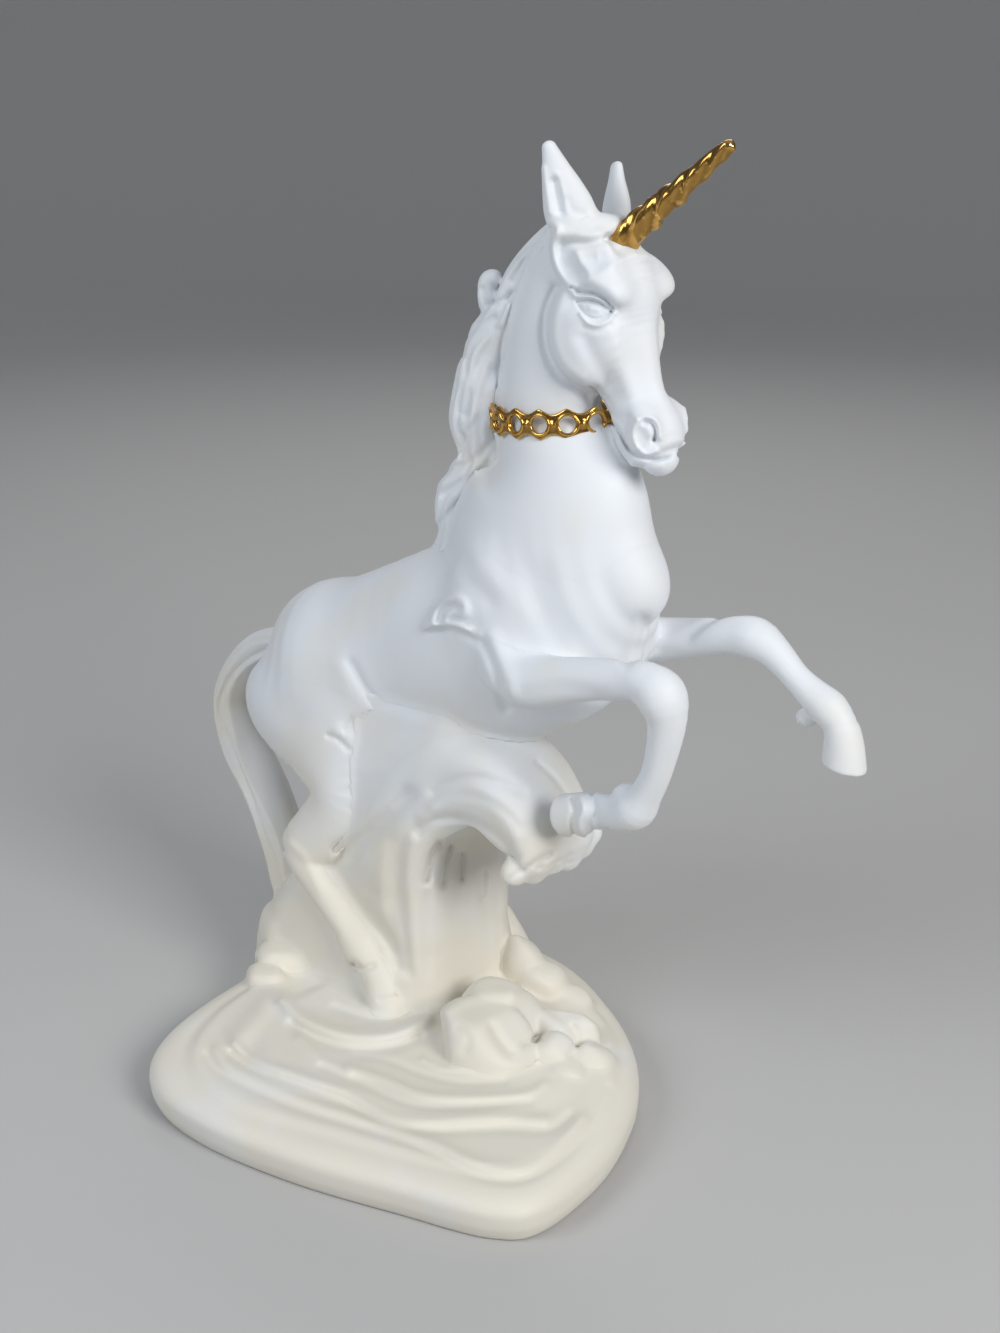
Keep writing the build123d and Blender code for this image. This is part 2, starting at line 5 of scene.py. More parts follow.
import bpy
import numpy as np
import openvdb
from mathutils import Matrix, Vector


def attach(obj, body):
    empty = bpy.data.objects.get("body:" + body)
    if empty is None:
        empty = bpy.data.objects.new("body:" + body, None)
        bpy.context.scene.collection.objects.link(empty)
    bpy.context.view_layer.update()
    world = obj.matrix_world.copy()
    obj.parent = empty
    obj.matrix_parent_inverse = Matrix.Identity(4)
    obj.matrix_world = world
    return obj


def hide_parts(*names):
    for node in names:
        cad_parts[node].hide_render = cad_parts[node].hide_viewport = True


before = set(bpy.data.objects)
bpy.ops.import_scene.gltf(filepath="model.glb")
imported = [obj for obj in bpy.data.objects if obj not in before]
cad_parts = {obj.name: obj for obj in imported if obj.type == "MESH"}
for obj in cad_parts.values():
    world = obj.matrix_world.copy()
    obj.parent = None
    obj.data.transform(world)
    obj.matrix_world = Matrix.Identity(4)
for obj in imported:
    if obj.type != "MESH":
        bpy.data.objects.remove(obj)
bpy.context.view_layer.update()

# The sculpt is worked in millimetres, with the horse's middle plane at y = 0.
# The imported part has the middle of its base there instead.
MM = 0.001
SHIFT = np.array([-28.0, 28.0, 0.0], np.float32)
Y_AXIS = np.array([0.0, 1.0, 0.0])
COARSER = 1.0
# Distances count up to FAR from a form. HUGE is beyond all that is made.
FAR, HUGE, TINY = 12.0, 1e4, 1e-6

# The photograph's camera, in the horse's millimetres.
AZIMUTH, ELEVATION, DISTANCE = math.radians(42.0), math.radians(19.0), 614.0
FOCAL_PIXELS, PHOTO_WIDTH, PHOTO_HEIGHT = 1900.0, 1000.0, 1333.0
TARGET = np.array([27.0, 0.0, 137.0])
VIEW_BACK = np.array([math.sin(AZIMUTH) * math.cos(ELEVATION),
                      -math.cos(AZIMUTH) * math.cos(ELEVATION), math.sin(ELEVATION)])
VIEW_RIGHT = np.array([math.cos(AZIMUTH), math.sin(AZIMUTH), 0.0])
VIEW_UP = np.cross(VIEW_BACK, VIEW_RIGHT)
CAMERA = TARGET + VIEW_BACK * DISTANCE


def at_y(u, v, y):
    """Where the ray through a photo pixel meets the plane at y."""
    ray = (VIEW_RIGHT * (u - PHOTO_WIDTH / 2) / FOCAL_PIXELS
           - VIEW_UP * (v - PHOTO_HEIGHT / 2) / FOCAL_PIXELS - VIEW_BACK)
    return CAMERA + ray * (y - CAMERA[1]) / ray[1]


# ---------------- fields


def smin(a, b, k):
    """The smaller of two fields, rounded off over k where they meet."""
    if k <= 0:
        return np.minimum(a, b)
    h = np.maximum(k - np.abs(a - b), 0) / k
    return np.minimum(a, b) - h * h * (k / 4)


def smax(a, b, k):
    """The larger of two fields, rounded off over k where they meet."""
    return -smin(-a, -b, k)


def smooth(t):
    """A soft step from 0 to 1."""
    t = np.clip(t, 0, 1)
    return t * t * (3 - 2 * t)


def steps_from(point, x, y, z):
    """Steps from a point to each place."""
    return [v - np.float32(c) for v, c in zip((x, y, z), point)]


def along(steps, axis):
    """How far the steps go along an axis."""
    rx, ry, rz = steps
    return rx * np.float32(axis[0]) + ry * np.float32(axis[1]) + rz * np.float32(axis[2])


def ellipsoid(steps, radii):
    """Distance to an ellipsoid, closely, from the steps along its own axes."""
    k0 = k1 = 0
    for step, radius in zip(steps, radii):
        share = step / radius
        k0 = k0 + share * share
        k1 = k1 + (share / radius) ** 2
    k0 = np.sqrt(k0) + TINY
    return k0 * (k0 - 1) / (np.sqrt(k1) + TINY)


class Grid:
    """A box of voxels, with its places along each axis."""

    def __init__(self, low, high, voxel):
        self.voxel = voxel
        self.low = np.array(low, np.float32)
        count = np.ceil((np.array(high) - self.low) / voxel).astype(int) + 1
        self.axes = [self.low[i] + voxel * np.arange(count[i], dtype=np.float32) for i in range(3)]
        self.shape = tuple(count)

    def places(self, slices=(slice(None),) * 3):
        """The places along each axis, shaped so that sums of them fill the grid."""
        return np.ix_(*(axis[cut] for axis, cut in zip(self.axes, slices)))

    def cut(self, low, high):
        """Slices and places of the part between two corners, or None for both."""
        slices = []
        for i in range(3):
            first = max(0, int((low[i] - self.low[i]) / self.voxel))
            last = min(self.shape[i], int((high[i] - self.low[i]) / self.voxel) + 2)
            if last <= first:
                return None, None
            slices.append(slice(first, last))
        return tuple(slices), self.places(slices)

    def mesh(self, field, background=FAR):
        """Points in the row's metres, and quads, where the field is nought."""
        vdb = openvdb.FloatGrid(background)
        vdb.copyFromArray(np.ascontiguousarray(field, dtype=np.float32))
        points, quads = vdb.convertToQuads(isovalue=0.0)
        return (points * self.voxel + self.low + SHIFT) * MM, quads


def resample(rows, step):
    """A smooth run through the rows, with a point about every step."""
    rows = np.array(rows, float)
    out = []
    for i in range(len(rows) - 1):
        p0, p1 = rows[max(i - 1, 0)], rows[i]
        p2, p3 = rows[i + 1], rows[min(i + 2, len(rows) - 1)]
        count = max(1, int(math.ceil(np.linalg.norm((p2 - p1)[:3]) / step)))
        for j in range(count):
            t = j / count
            out.append(0.5 * (2 * p1 + (p2 - p0) * t + (2 * p0 - 5 * p1 + 4 * p2 - p3) * t ** 2
                              + (3 * p1 - p0 - 3 * p2 + p3) * t ** 3))
    out.append(rows[-1])
    return np.array(out)


class Chain:
    """A limb along a smooth run of rows (x, y, z, half depth, half breadth).
    Without a half breadth a row is round. end says how far the two ends bulge."""

    INNER_BULGE = 0.35
    # the step between its points: at least this, or this share of its radius
    SHORTEST_STEP, STEP_SHARE = 1.2, 0.28

    def __init__(self, rows, k=3.0, step=None, side=Y_AXIS, end=1.0):
        rows = [r if len(r) == 5 else (*r, r[3]) for r in rows]
        radius = max(min(r[3], r[4]) for r in rows)
        step = step or max(self.SHORTEST_STEP, self.STEP_SHARE * radius)
        self.rows = resample(rows, step)
        self.k, self.side, self.end = k, side, end

    def flipped(self):
        twin = copy(self)
        twin.rows = self.rows * (1, -1, 1, 1, 1)
        return twin

    def parts(self):
        """Each piece between two points: its low and high corners, and the piece."""
        last = len(self.rows) - 2
        for n, (p, q) in enumerate(zip(self.rows[:-1], self.rows[1:])):
            reach = max(p[3], p[4], q[3], q[4])
            bulge = self.end if n in (0, last) else self.INNER_BULGE
            yield np.minimum(p[:3], q[:3]) - reach, np.maximum(p[:3], q[:3]) + reach, (p, q, bulge)

    def distance(self, x, y, z, part):
        p, q, bulge = part
        length = np.linalg.norm(q[:3] - p[:3])
        tangent = (q[:3] - p[:3]) / length
        side = self.side - tangent * np.dot(self.side, tangent)
        side = side / np.linalg.norm(side)
        steps = steps_from(p, x, y, z)
        run = along(steps, tangent)
        t = np.clip(run / np.float32(length), 0, 1)
        deep = np.float32(p[3]) + t * np.float32(q[3] - p[3])
        broad = np.float32(p[4]) + t * np.float32(q[4] - p[4])
        cap = np.float32(bulge) * np.minimum(deep, broad)
        fore, beyond = np.cross(side, tangent), run - t * np.float32(length)
        return ellipsoid((along(steps, fore), along(steps, side), beyond), (deep, broad, cap))


class Ball:
    """An ellipsoid. tilt turns it about y, from +x towards +z."""

    def __init__(self, centre, radii, tilt=0.0, k=5.0):
        self.centre, self.radii, self.k = np.array(centre, float), np.array(radii, float), k
        ct, st = math.cos(math.radians(tilt)), math.sin(math.radians(tilt))
        self.axes = np.array([[ct, 0, st], [0, 1, 0], [-st, 0, ct]])

    def flipped(self):
        twin = copy(self)
        twin.centre, twin.axes = self.centre * (1, -1, 1), self.axes * (1, -1, 1)
        return twin

    def parts(self):
        reach = max(self.radii)
        yield self.centre - reach, self.centre + reach, None

    def distance(self, x, y, z, part):
        steps = steps_from(self.centre, x, y, z)
        own = [along(steps, axis) for axis in self.axes]
        return ellipsoid(own, self.radii).astype(np.float32)


class Rock(Ball):
    """A block of stone with soft edges: planes set round a middle by a seeded draw."""

    PLANES, LEAST_SHARE, MOST_SHARE = 13, 0.72, 0.98

    def __init__(self, centre, radii, seed, edge):
        super().__init__(centre, radii, k=1.2)
        self.edge = edge
        draw = np.random.default_rng(seed)
        normals = draw.normal(size=(self.PLANES, 3))
        normals[0] = (0, 0, 1)
        self.normals = normals / np.linalg.norm(normals, axis=1)[:, None]
        self.shares = draw.uniform(self.LEAST_SHARE, self.MOST_SHARE, self.PLANES)

    def distance(self, x, y, z, part):
        field = super().distance(x, y, z, part)
        steps = steps_from(self.centre, x, y, z)
        for normal, share in zip(self.normals, self.shares):
            size = np.linalg.norm(normal * self.radii)
            field = smax(field, along(steps, normal) - np.float32(size * share), self.edge)
        return field.astype(np.float32)


class Field:
    """A form worked out by its own function, inside one box."""

    def __init__(self, function, low, high):
        self.function, self.low, self.high = function, np.array(low, float), np.array(high, float)
        self.k = 2.0

    def parts(self):
        yield self.low, self.high, None

    def distance(self, x, y, z, part):
        return self.function(x, y, z).astype(np.float32)


def pair(*ball, **shape):
    """The same ball on both sides of the middle plane."""
    near = Ball(*ball, **shape)
    return [near, near.flipped()]


def near_parts(grid, form):
    """The parts of a form that come near the grid: slices, places and the part."""
    for low, high, part in form.parts():
        cut, places = grid.cut(low - FAR, high + FAR)
        if cut is not None:
            yield cut, places, part


def group_field(grid, forms):
    """Distance to a group of forms, each joined softly to those before it."""
    field = np.full(grid.shape, FAR, np.float32)
    for form in forms:
        near = list(near_parts(grid, form))
        if near and isinstance(form, Chain):
            own = np.full(grid.shape, FAR, np.float32)
            for cut, places, part in near:
                own[cut] = np.minimum(own[cut], form.distance(*places, part))
            field = smin(field, own, form.k)
        elif near:
            cut, places, part = near[0]
            field[cut] = smin(field[cut], form.distance(*places, part), form.k)
    return field


BLUR_REACH = 2.5


def blur(field, sigma):
    """The field, softened over sigma voxels."""
    radius = int(math.ceil(BLUR_REACH * sigma))
    kernel = np.exp(-0.5 * (np.arange(-radius, radius + 1) / sigma) ** 2)
    kernel = (kernel / kernel.sum()).astype(np.float32)
    for axis in range(3):
        pad = [(0, 0)] * 3
        pad[axis] = (radius, radius)
        padded = np.pad(field, pad, mode="edge")
        out = np.zeros_like(field)
        for i, weight in enumerate(kernel):
            cut = [slice(None)] * 3
            cut[axis] = slice(i, i + field.shape[axis])
            out += weight * padded[tuple(cut)]
        field = out
    return field


# ---------------- strokes

NEAR_SIDE, WHOLE, FAR_SIDE, BOTH_SIDES = -1, 0, 1, 2


class Stroke:
    """A line drawn on the surface. Positive depth carves, negative raises.
    Its points are photo pixels, or (x, z) if photo is False. The near side is y < 0,
    and BOTH_SIDES draws both sides alike, as the near side is drawn."""

    # how many widths from its line a stroke has died away
    REACH = 2.6
    # half of the strip left bare at the middle plane, and the fade beside it
    BARE_HALF, FADE = 0.5, 2.0
    # nothing that is drawn on reaches farther to the side
    HALF_ROOM = 40.0
    # the step between its points: at least this, or this share of its width, longer in pixels
    SHORTEST_STEP, STEP_SHARE, PHOTO_STEPS = 0.5, 0.4, 3

    def __init__(self, points, width, depth, side=NEAR_SIDE, box=None, photo=True):
        step = max(self.SHORTEST_STEP, self.STEP_SHARE * width) * (self.PHOTO_STEPS if photo else 1)
        self.points = resample([(*p, 0) for p in points], HUGE if len(points) < 3 else step)[:, :2]
        self.width, self.depth, self.side, self.box, self.photo = width, depth, side, box, photo

    def corners(self):
        """Low and high corners of the room that the stroke can reach."""
        first, last = self.points.min(axis=0), self.points.max(axis=0)
        pad = self.REACH * self.width
        if not self.photo:
            return (first[0] - pad, -HUGE, first[1] - pad), (last[0] + pad, HUGE, last[1] + pad)
        pad = pad * FOCAL_PIXELS / DISTANCE
        spots = [at_y(u, v, y) for u in (first[0] - pad, last[0] + pad)
                 for v in (first[1] - pad, last[1] + pad) for y in (-self.HALF_ROOM, 0.0)]
        low, high = np.min(spots, axis=0), np.max(spots, axis=0)
        low[1] = 0 if self.side == FAR_SIDE else -self.HALF_ROOM
        high[1] = 0 if self.side == NEAR_SIDE else self.HALF_ROOM
        return low, high

    def share_at(self, y):
        """How much of the stroke is drawn at each y."""
        if self.side == WHOLE:
            return 1
        out = np.abs(y) - self.BARE_HALF if self.side == BOTH_SIDES else self.side * y
        return smooth(out / self.FADE)

    def drawn(self, x, y, z):
        """Where each place falls on the drawing, and the millimetres of one unit there."""
        if not self.photo:
            return x, z, 1.0
        near = {BOTH_SIDES: -np.abs(y), FAR_SIDE: -y}.get(self.side, y)
        px, py, pz = x - CAMERA[0], near - CAMERA[1], z - CAMERA[2]
        ahead = -(px * VIEW_BACK[0] + py * VIEW_BACK[1] + pz * VIEW_BACK[2])
        scale = FOCAL_PIXELS / ahead
        u = PHOTO_WIDTH / 2 + scale * (px * VIEW_RIGHT[0] + py * VIEW_RIGHT[1])
        v = PHOTO_HEIGHT / 2 - scale * (px * VIEW_UP[0] + py * VIEW_UP[1] + pz * VIEW_UP[2])
        return u, v, DISTANCE / FOCAL_PIXELS

    def apply(self, grid, field):
        cut, places = grid.cut(*(self.box or self.corners()))
        if cut is None:
            return
        u, v, unit = self.drawn(*places)
        nearest = np.float32(HUGE ** 2)
        for p, q in zip(self.points[:-1], self.points[1:]):
            du, dv = q - p
            square = du * du + dv * dv
            if square < TINY:
                continue
            t = np.clip(((u - p[0]) * du + (v - p[1]) * dv) / square, 0, 1)
            nearest = np.minimum(nearest, (u - p[0] - t * du) ** 2 + (v - p[1] - t * dv) ** 2)
        depth = self.depth * self.share_at(places[1])
        field[cut] += (depth * np.exp(-nearest * (unit / self.width) ** 2)).astype(np.float32)


class Shave:
    """A flat cut, kept inside one box."""

    EDGE = 0.8

    def __init__(self, point, normal, box):
        self.point, self.normal, self.box = point, normal, box

    def apply(self, grid, field):
        cut, places = grid.cut(*self.box)
        if cut is not None:
            plane = along(steps_from(self.point, *places), self.normal)
            field[cut] = smax(field[cut], plane, self.EDGE)


def close_view(left, top, scale):
    """What turns points of a close view of the photograph into photo pixels."""
    return lambda points: [(left + scale * u, top + scale * v) for u, v in points]


whole_photo = close_view(0, 0, 1)
head_view = close_view(440, 120, 0.2424)
body_view = close_view(230, 560, 0.3125)
wave_view = close_view(370, 715, 0.1818)
base_view = close_view(140, 930, 0.32526)


def strokes(view, rows, strength=1.0, **place):
    """Strokes from rows (points of a close view, width, depth)."""
    return [Stroke(view(points), width, strength * depth, **place) for points, width, depth in rows]


# ---------------- the horse

# Limbs as rows for Chain: x, y, z, half depth, half breadth
TRUNK = [(-66, 0, 119, 8.2, 10.2), (-60, 0, 119.6, 20.6, 21.8), (-47, 0, 119.8, 30.2, 28),
         (-27, 0, 125.4, 31.4, 26.6), (-6.6, 0, 135.4, 31, 24.4), (12, 0, 141.6, 33.4, 25.5),
         (34, 0, 147.6, 31.8, 26.3), (54, 0, 160.6, 31, 25), (70, 0, 170.6, 24, 18.6),
         (80, 0, 176, 13.4, 11)]
NECK = [(38.5, 0, 158.8, 26, 16), (42.8, 0, 172.2, 33, 20.8), (52.4, 0, 190, 32, 20.4),
        (53, 0, 205.8, 25.4, 17), (47.4, 0, 220.4, 17.4, 12.8), (49.1, 0, 234.9, 16.4, 12),
        (52.2, 0, 251.7, 16.4, 11.4), (57.2, 0, 266.3, 14.4, 10.4), (62, 0, 274.4, 8.6, 7.2)]
HEAD = [(58.6, 0, 275, 8.6, 8.5), (66.5, 0, 263.8, 16.6, 13.2), (69.3, 0, 252.8, 16.4, 12.9),
        (75.2, 0, 239.8, 12.4, 9.2), (80.2, 0, 230, 10.2, 7.7), (84.8, 0, 222.4, 11, 8.5),
        (88, 0, 217.2, 9.4, 7.5), (89.6, 0, 215, 5.6, 5)]
FORELEG_RIGHT = [(46.7, -18, 155, 8.4), (51.5, -22, 149, 9.6), (62.3, -25.4, 147, 8.3),
                 (81.5, -25.4, 152, 6.7), (98, -24.8, 155.5, 6.0), (106, -24.8, 156.2, 6.4),
                 (111.5, -24.6, 152.4, 6.6), (112.3, -23.8, 144.7, 5.5), (108.8, -23, 130, 4.5),
                 (104.4, -22.4, 121, 4.9), (100.5, -22, 115.5, 6.3), (95, -21.4, 112.4, 5.6),
                 (88.5, -20.6, 111, 5.0)]
HOOF_RIGHT = [(86.5, -20.6, 110.2, 5.6), (80.5, -20.3, 107.6, 6.3), (72.4, -20, 104.4, 6.8)]
FORELEG_LEFT = [(46, 10, 149, 9.3), (53.9, 14.6, 148, 9.4), (64.7, 17, 150, 8.6),
                (75.5, 19.4, 152, 7.3), (90, 20.4, 155.8, 6.0), (103, 20.6, 159.2, 5.8),
                (111.5, 20.6, 160, 6.4), (118.6, 20.6, 157, 5), (126, 20.6, 151.4, 4.2),
                (132.6, 20.6, 147.2, 4.9), (138.2, 20.6, 144.2, 5.6), (142, 20.6, 140.8, 4.8)]
HOOF_LEFT = [(142.8, 20.6, 139.2, 5.3, 5.2), (143.8, 20.6, 133.6, 6.2, 5.7),
             (144.2, 20.6, 125.6, 7.2, 6.2)]
HIND = [(-44, -11, 138, 14, 8), (-41, -14, 124, 28, 12.4), (-36, -16.5, 110, 31, 13.8),
        (-29.5, -19, 98, 23, 13), (-25, -21.5, 87, 14, 10.8), (-27, -23.5, 78, 11.8, 8.8),
        (-34, -25.6, 69, 10.6, 7.6), (-40, -27.4, 60.8, 9.6, 6.8), (-34.2, -28, 53.2, 6.6, 5.6),
        (-25.8, -28.2, 45.6, 5.9, 5.2), (-17.4, -29, 39, 5.7, 5.2), (-10.8, -29.3, 34, 6.9, 6.2),
        (-5, -29.7, 30, 6, 5.6), (-1.6, -30, 27, 6, 5.6)]
HIND_HOOF = [(-0.6, -30, 25.6, 6.4, 6), (1.8, -30.4, 21, 7, 6.7), (4.4, -31, 16, 7.4, 7.1)]
TAIL = [(-60, 0, 121, 4.8), (-70, 0, 122.6, 5.4), (-81, 0, 121.4, 5.8), (-93, -0.4, 115, 6.6),
        (-102.4, -0.5, 104, 7.4), (-106.2, -1, 91.4, 7.9), (-97.6, -3.8, 78, 8.3),
        (-81.6, -8.2, 65.4, 8.4), (-68, -12, 49, 8), (-62, -15, 38, 7), (-57, -17, 30, 6),
        (-53, -18, 20, 5)]
MANE = [(52, 0, 275.4, 6.2, 5.6), (45, 0, 268, 7.4, 7.6), (38.5, 0, 259.6, 8.2, 8.6),
        (33.5, 0, 249.5, 8.8, 9.2), (24.2, 0, 239.5, 10.4, 9.2), (22.4, 0, 228, 10.6, 9.3),
        (20.2, 0, 217, 11, 9.3), (21, 0, 203.6, 9.8, 8.8), (11.6, 0, 192, 9.6, 8.4),
        (9.4, 0, 180, 8.8, 7.6), (8.4, 0, 169, 6.4, 6.2)]
CURL = [(33, -1, 246, 5.2), (28.4, -2, 248, 4.6), (25.2, -2, 252, 3.6), (23.6, -2, 257, 3.1),
        (24.4, -2, 260.6, 2.9), (26.6, -2, 261.6, 2.2)]
TUFT = [(18, -23.4, 154.6, 1.6), (24, -23.2, 158, 2.4), (30, -23.8, 160.4, 2.9),
        (36, -24.6, 159.6, 2.6), (41.5, -25.8, 156.4, 1.8)]
# An ear's rows: share of the way to its tip, shares of its width and of its thickness
EAR_SHARES = [(-0.3, 0.62, 0.8), (0, 0.9, 1.0), (0.25, 0.96, 0.95), (0.5, 0.78, 0.8),
              (0.75, 0.52, 0.62)]
EAR_TIP_THICK = 0.44


def ear_rows(foot, tip, wide, thick, blunt):
    """The rows of a pricked ear, from its foot to its tip."""
    foot, tip = np.array(foot), np.array(tip)
    return [(*(foot + (tip - foot) * t), a * wide, b * thick)
            for t, a, b in (*EAR_SHARES, (1, blunt, EAR_TIP_THICK))]


GROUPS = {
    "torso": [Chain(TRUNK, 4), Ball((62, -9, 169), (13, 7, 15), 60, k=7),
              Ball((61, 7, 170), (12, 6, 14), 60, k=7), Ball((-50, 0, 124), (26, 20, 25), k=6),
              *pair((42, -18, 160), (15, 7.6, 22), 20, k=8)],
    "neck": [Chain(NECK, 4, step=2.0)],
    "head": [Chain(HEAD, 3), *pair((67.5, -9.2, 249), (13, 6.6, 14), 20, k=4),
             *pair((77.5, -9.6, 265), (7.5, 5.0, 4.4), -35, k=4),
             *pair((87.6, -6.2, 225.4), (5.2, 3.8, 6.2), 25, k=3)],
    "ear_right": [Chain(ear_rows((64.0, -9, 278.5), (59.4, -15.6, 301.4), 7.6, 4.2, 0.28), 1.5,
                        side=np.array([-0.55, 0.83, 0]))],
    "ear_left": [Chain(ear_rows((64.4, 8.8, 280), (61.2, 12.4, 294.8), 6.6, 3.2, 0.4), 1.5,
                       side=np.array([-0.35, -0.94, 0]))],
    "forelock": [Ball((68, -9.6, 271.6), (11, 3.4, 8.4), -22, k=2.5),
                 Ball((67, -2, 278.6), (7, 8, 3.4), 20, k=3)],
    "mane_upper": [Chain(MANE[:7], 3), Chain(CURL, 2.5)],
    "mane_lower": [Chain(MANE[5:], 3)],
    "foreleg_right": [Chain(FORELEG_RIGHT, 3), Ball((111, -24.8, 154), (6.6, 6.2, 7), k=3),
                      Chain(HOOF_RIGHT, 0.6, end=0.35),
                      Ball((96, -21.4, 118.8), (4.8, 3.4, 3.0), 30, k=1.4)],
    "foreleg_left": [Chain(FORELEG_LEFT, 3), Chain(HOOF_LEFT, 0.6, end=0.5),
                     Ball((130.8, 20.6, 139.8), (3.8, 3.0, 3.0), 20, k=1.4)],
    "hindleg_right": [Chain(HIND, 3), Ball((-46, -15, 108.5), (32, 15, 22), k=4),
                      Chain(HIND_HOOF, 0.6), Ball((-14, -29.4, 29), (3.8, 3.2, 4.6), 35, k=1.6)],
    "shoulder_tuft_right": [Chain(TUFT, 2)],
    "tail": [Chain(TAIL, 2)],
}
for limb in ("hindleg", "shoulder_tuft"):
    GROUPS[limb + "_left"] = [form.flipped() for form in GROUPS[limb + "_right"]]

# ---------------- the base and the wave

BASE_MIDDLE = (28.0, -28.0)
BASE_HALF = (84.0, 79.0)
# The base's outline, in shares of its half length and half breadth
OUTLINE = [(1.0, -0.60), (0.97, -0.20), (0.84, 0.16), (0.62, 0.46), (0.31, 0.70), (-0.07, 0.87),
           (-0.48, 0.86), (-0.82, 0.60), (-1.0, 0.15), (-0.985, -0.35), (-0.87, -0.78),
           (-0.66, -1.015), (-0.33, -1.075), (0.12, -1.01), (0.57, -0.87), (0.88, -0.76)]
# Its rim: heights, and the share of the outline that each reaches
RIM_HEIGHTS, RIM_SHARES = [0, 4.5, 9.8, 13.2, 16], [0.975, 0.995, 1.0, 0.985, 0.94]
BASE_TOP, BASE_ROUNDING, RIM_SLOPE = 14.6, 6.0, 0.96
# Its ripple terraces: rise, share of the outline, how far they sway, and how softly they step
TERRACES = [(1.7, 0.90, 1, 0.06), (1.6, 0.70, 2, 0.10)]
# Their sway: share of the outline, waves round it, and phase
SWAYS = [(0.018, 3, 0.6), (0.012, 7, 2.0)]
OUTLINE_STEP, CREST_STEP = 3.0, 2.5
# The wave's trunk: height, middle x and y, half depth, half breadth
COLUMN = [(3, -27, -2, 47.5, 31), (20, -26.5, -2.5, 46, 29), (37, -22.6, -3, 40.2, 26.4),
          (56, -13.6, -3, 32.6, 24.6), (78, -7.4, -3, 28.4, 24.4), (99, -3, -2, 30.5, 25),
          (121, 1.4, -1, 31.5, 23), (138, 5, 0, 28, 18)]
COLUMN_TOP, COLUMN_CORNER, COLUMN_SLOPE = 140, 0.55, 0.94
# The wave's curl, seen from its side: x, z, half thickness
CREST = [(-4, 70, 12), (4.2, 83, 14.6), (13.8, 95, 15.2), (28.2, 103.4, 15.4), (41.4, 103, 14.4),
         (52.4, 95.6, 11.2), (59.5, 88, 6.6), (60.5, 83.5, 3.6)]
CREST_MIDDLE, CREST_HALF, CREST_ROUNDING = -10.6, 17.6, 11.0
# Foam along the curl's lip: centres and radii
LIP = [((55.5, -25, 81.5), (4.4, 4.4, 4.2)), ((57, -18, 80.4), (4.6, 4.8, 4.4)),
       ((58.5, -10.8, 81.4), (4.4, 4.6, 4.0)), ((58.5, -3.4, 80.4), (4.8, 4.8, 4.4)),
       ((58.5, 3.6, 82.4), (4.6, 4.4, 4.4)), ((60, 7.0, 86.4), (4.2, 3.6, 4.0))]
# The niche that is cut into the wave under its crest
NICHE = [Chain([(24.6, -9, 20, 4.0, 14), (23.8, -9, 48, 5.2, 15), (22.6, -9, 64, 8.4, 16),
                (24.4, -9.5, 74, 10.4, 17), (35, -10, 76, 10, 19)], 2)]
NICHE_ROUNDING = 2.0


def outline_radius(theta):
    """Distance from the base's middle to its outline, at each angle."""
    points = np.array([(sx * BASE_HALF[0], sy * BASE_HALF[1]) for sx, sy in OUTLINE])
    closed = np.vstack([points[-2:], points, points[:3]])
    run = resample([(px, py, 0) for px, py in closed], OUTLINE_STEP)[:, :2]
    angle, radius = np.arctan2(run[:, 1], run[:, 0]), np.hypot(run[:, 0], run[:, 1])
    order = np.argsort(angle)
    angle, radius = angle[order], radius[order]
    angle = np.concatenate([angle - 2 * math.pi, angle, angle + 2 * math.pi])
    return np.interp(theta, angle, np.tile(radius, 3))


def base_shape(x, y, z):
    """A low slab with a rounded rim and ripple terraces that sway a little."""
    px, py = x - BASE_MIDDLE[0], y - BASE_MIDDLE[1]
    theta, rho = np.arctan2(py, px), np.hypot(px, py)
    radius = outline_radius(theta)
    share = rho / radius
    sway = sum(swing * np.sin(waves * theta + phase) for swing, waves, phase in SWAYS)
    top = BASE_TOP
    for rise, edge, swayed, soft in TERRACES:
        top = top + rise * smooth((edge + swayed * sway - share) / soft)
    side = (rho - radius * np.interp(z, RIM_HEIGHTS, RIM_SHARES)) * RIM_SLOPE
    return smax(smax(z - top, side, BASE_ROUNDING), -z, 0.0)


def column_shape(x, y, z):
    """A trunk of rounded oblong section, broad at its foot."""
    rows = np.array(COLUMN)
    mx, my, a, b = (np.interp(z, rows[:, 0], rows[:, n]) for n in (1, 2, 3, 4))
    corner = COLUMN_CORNER * b
    qx, qy = np.abs(x - mx) - a + corner, np.abs(y - my) - b + corner
    outside = np.hypot(np.maximum(qx, 0), np.maximum(qy, 0)) + np.minimum(np.maximum(qx, qy), 0)
    return np.maximum((outside - corner) * COLUMN_SLOPE, z - COLUMN_TOP)


def crest_shape(x, y, z):
    """A curl of water with a level front, the same shape all along its breadth."""
    rows = resample([(px, pz, 0, half) for px, pz, half in CREST], CREST_STEP)
    field = np.float32(HUGE)
    for p, q in zip(rows[:-1], rows[1:]):
        du, dv = q[0] - p[0], q[1] - p[1]
        t = np.clip(((x - p[0]) * du + (z - p[1]) * dv) / (du * du + dv * dv), 0, 1)
        gap = np.hypot(x - p[0] - t * du, z - p[1] - t * dv) - (p[3] + t * (q[3] - p[3]))
        field = np.minimum(field, gap)
    return smax(field, np.abs(y - CREST_MIDDLE) - CREST_HALF, CREST_ROUNDING)


def rocks(rows, edge):
    """Blocks of stone from rows (centre, radii, seed)."""
    return [Rock(centre, radii, seed, edge) for centre, radii, seed in rows]


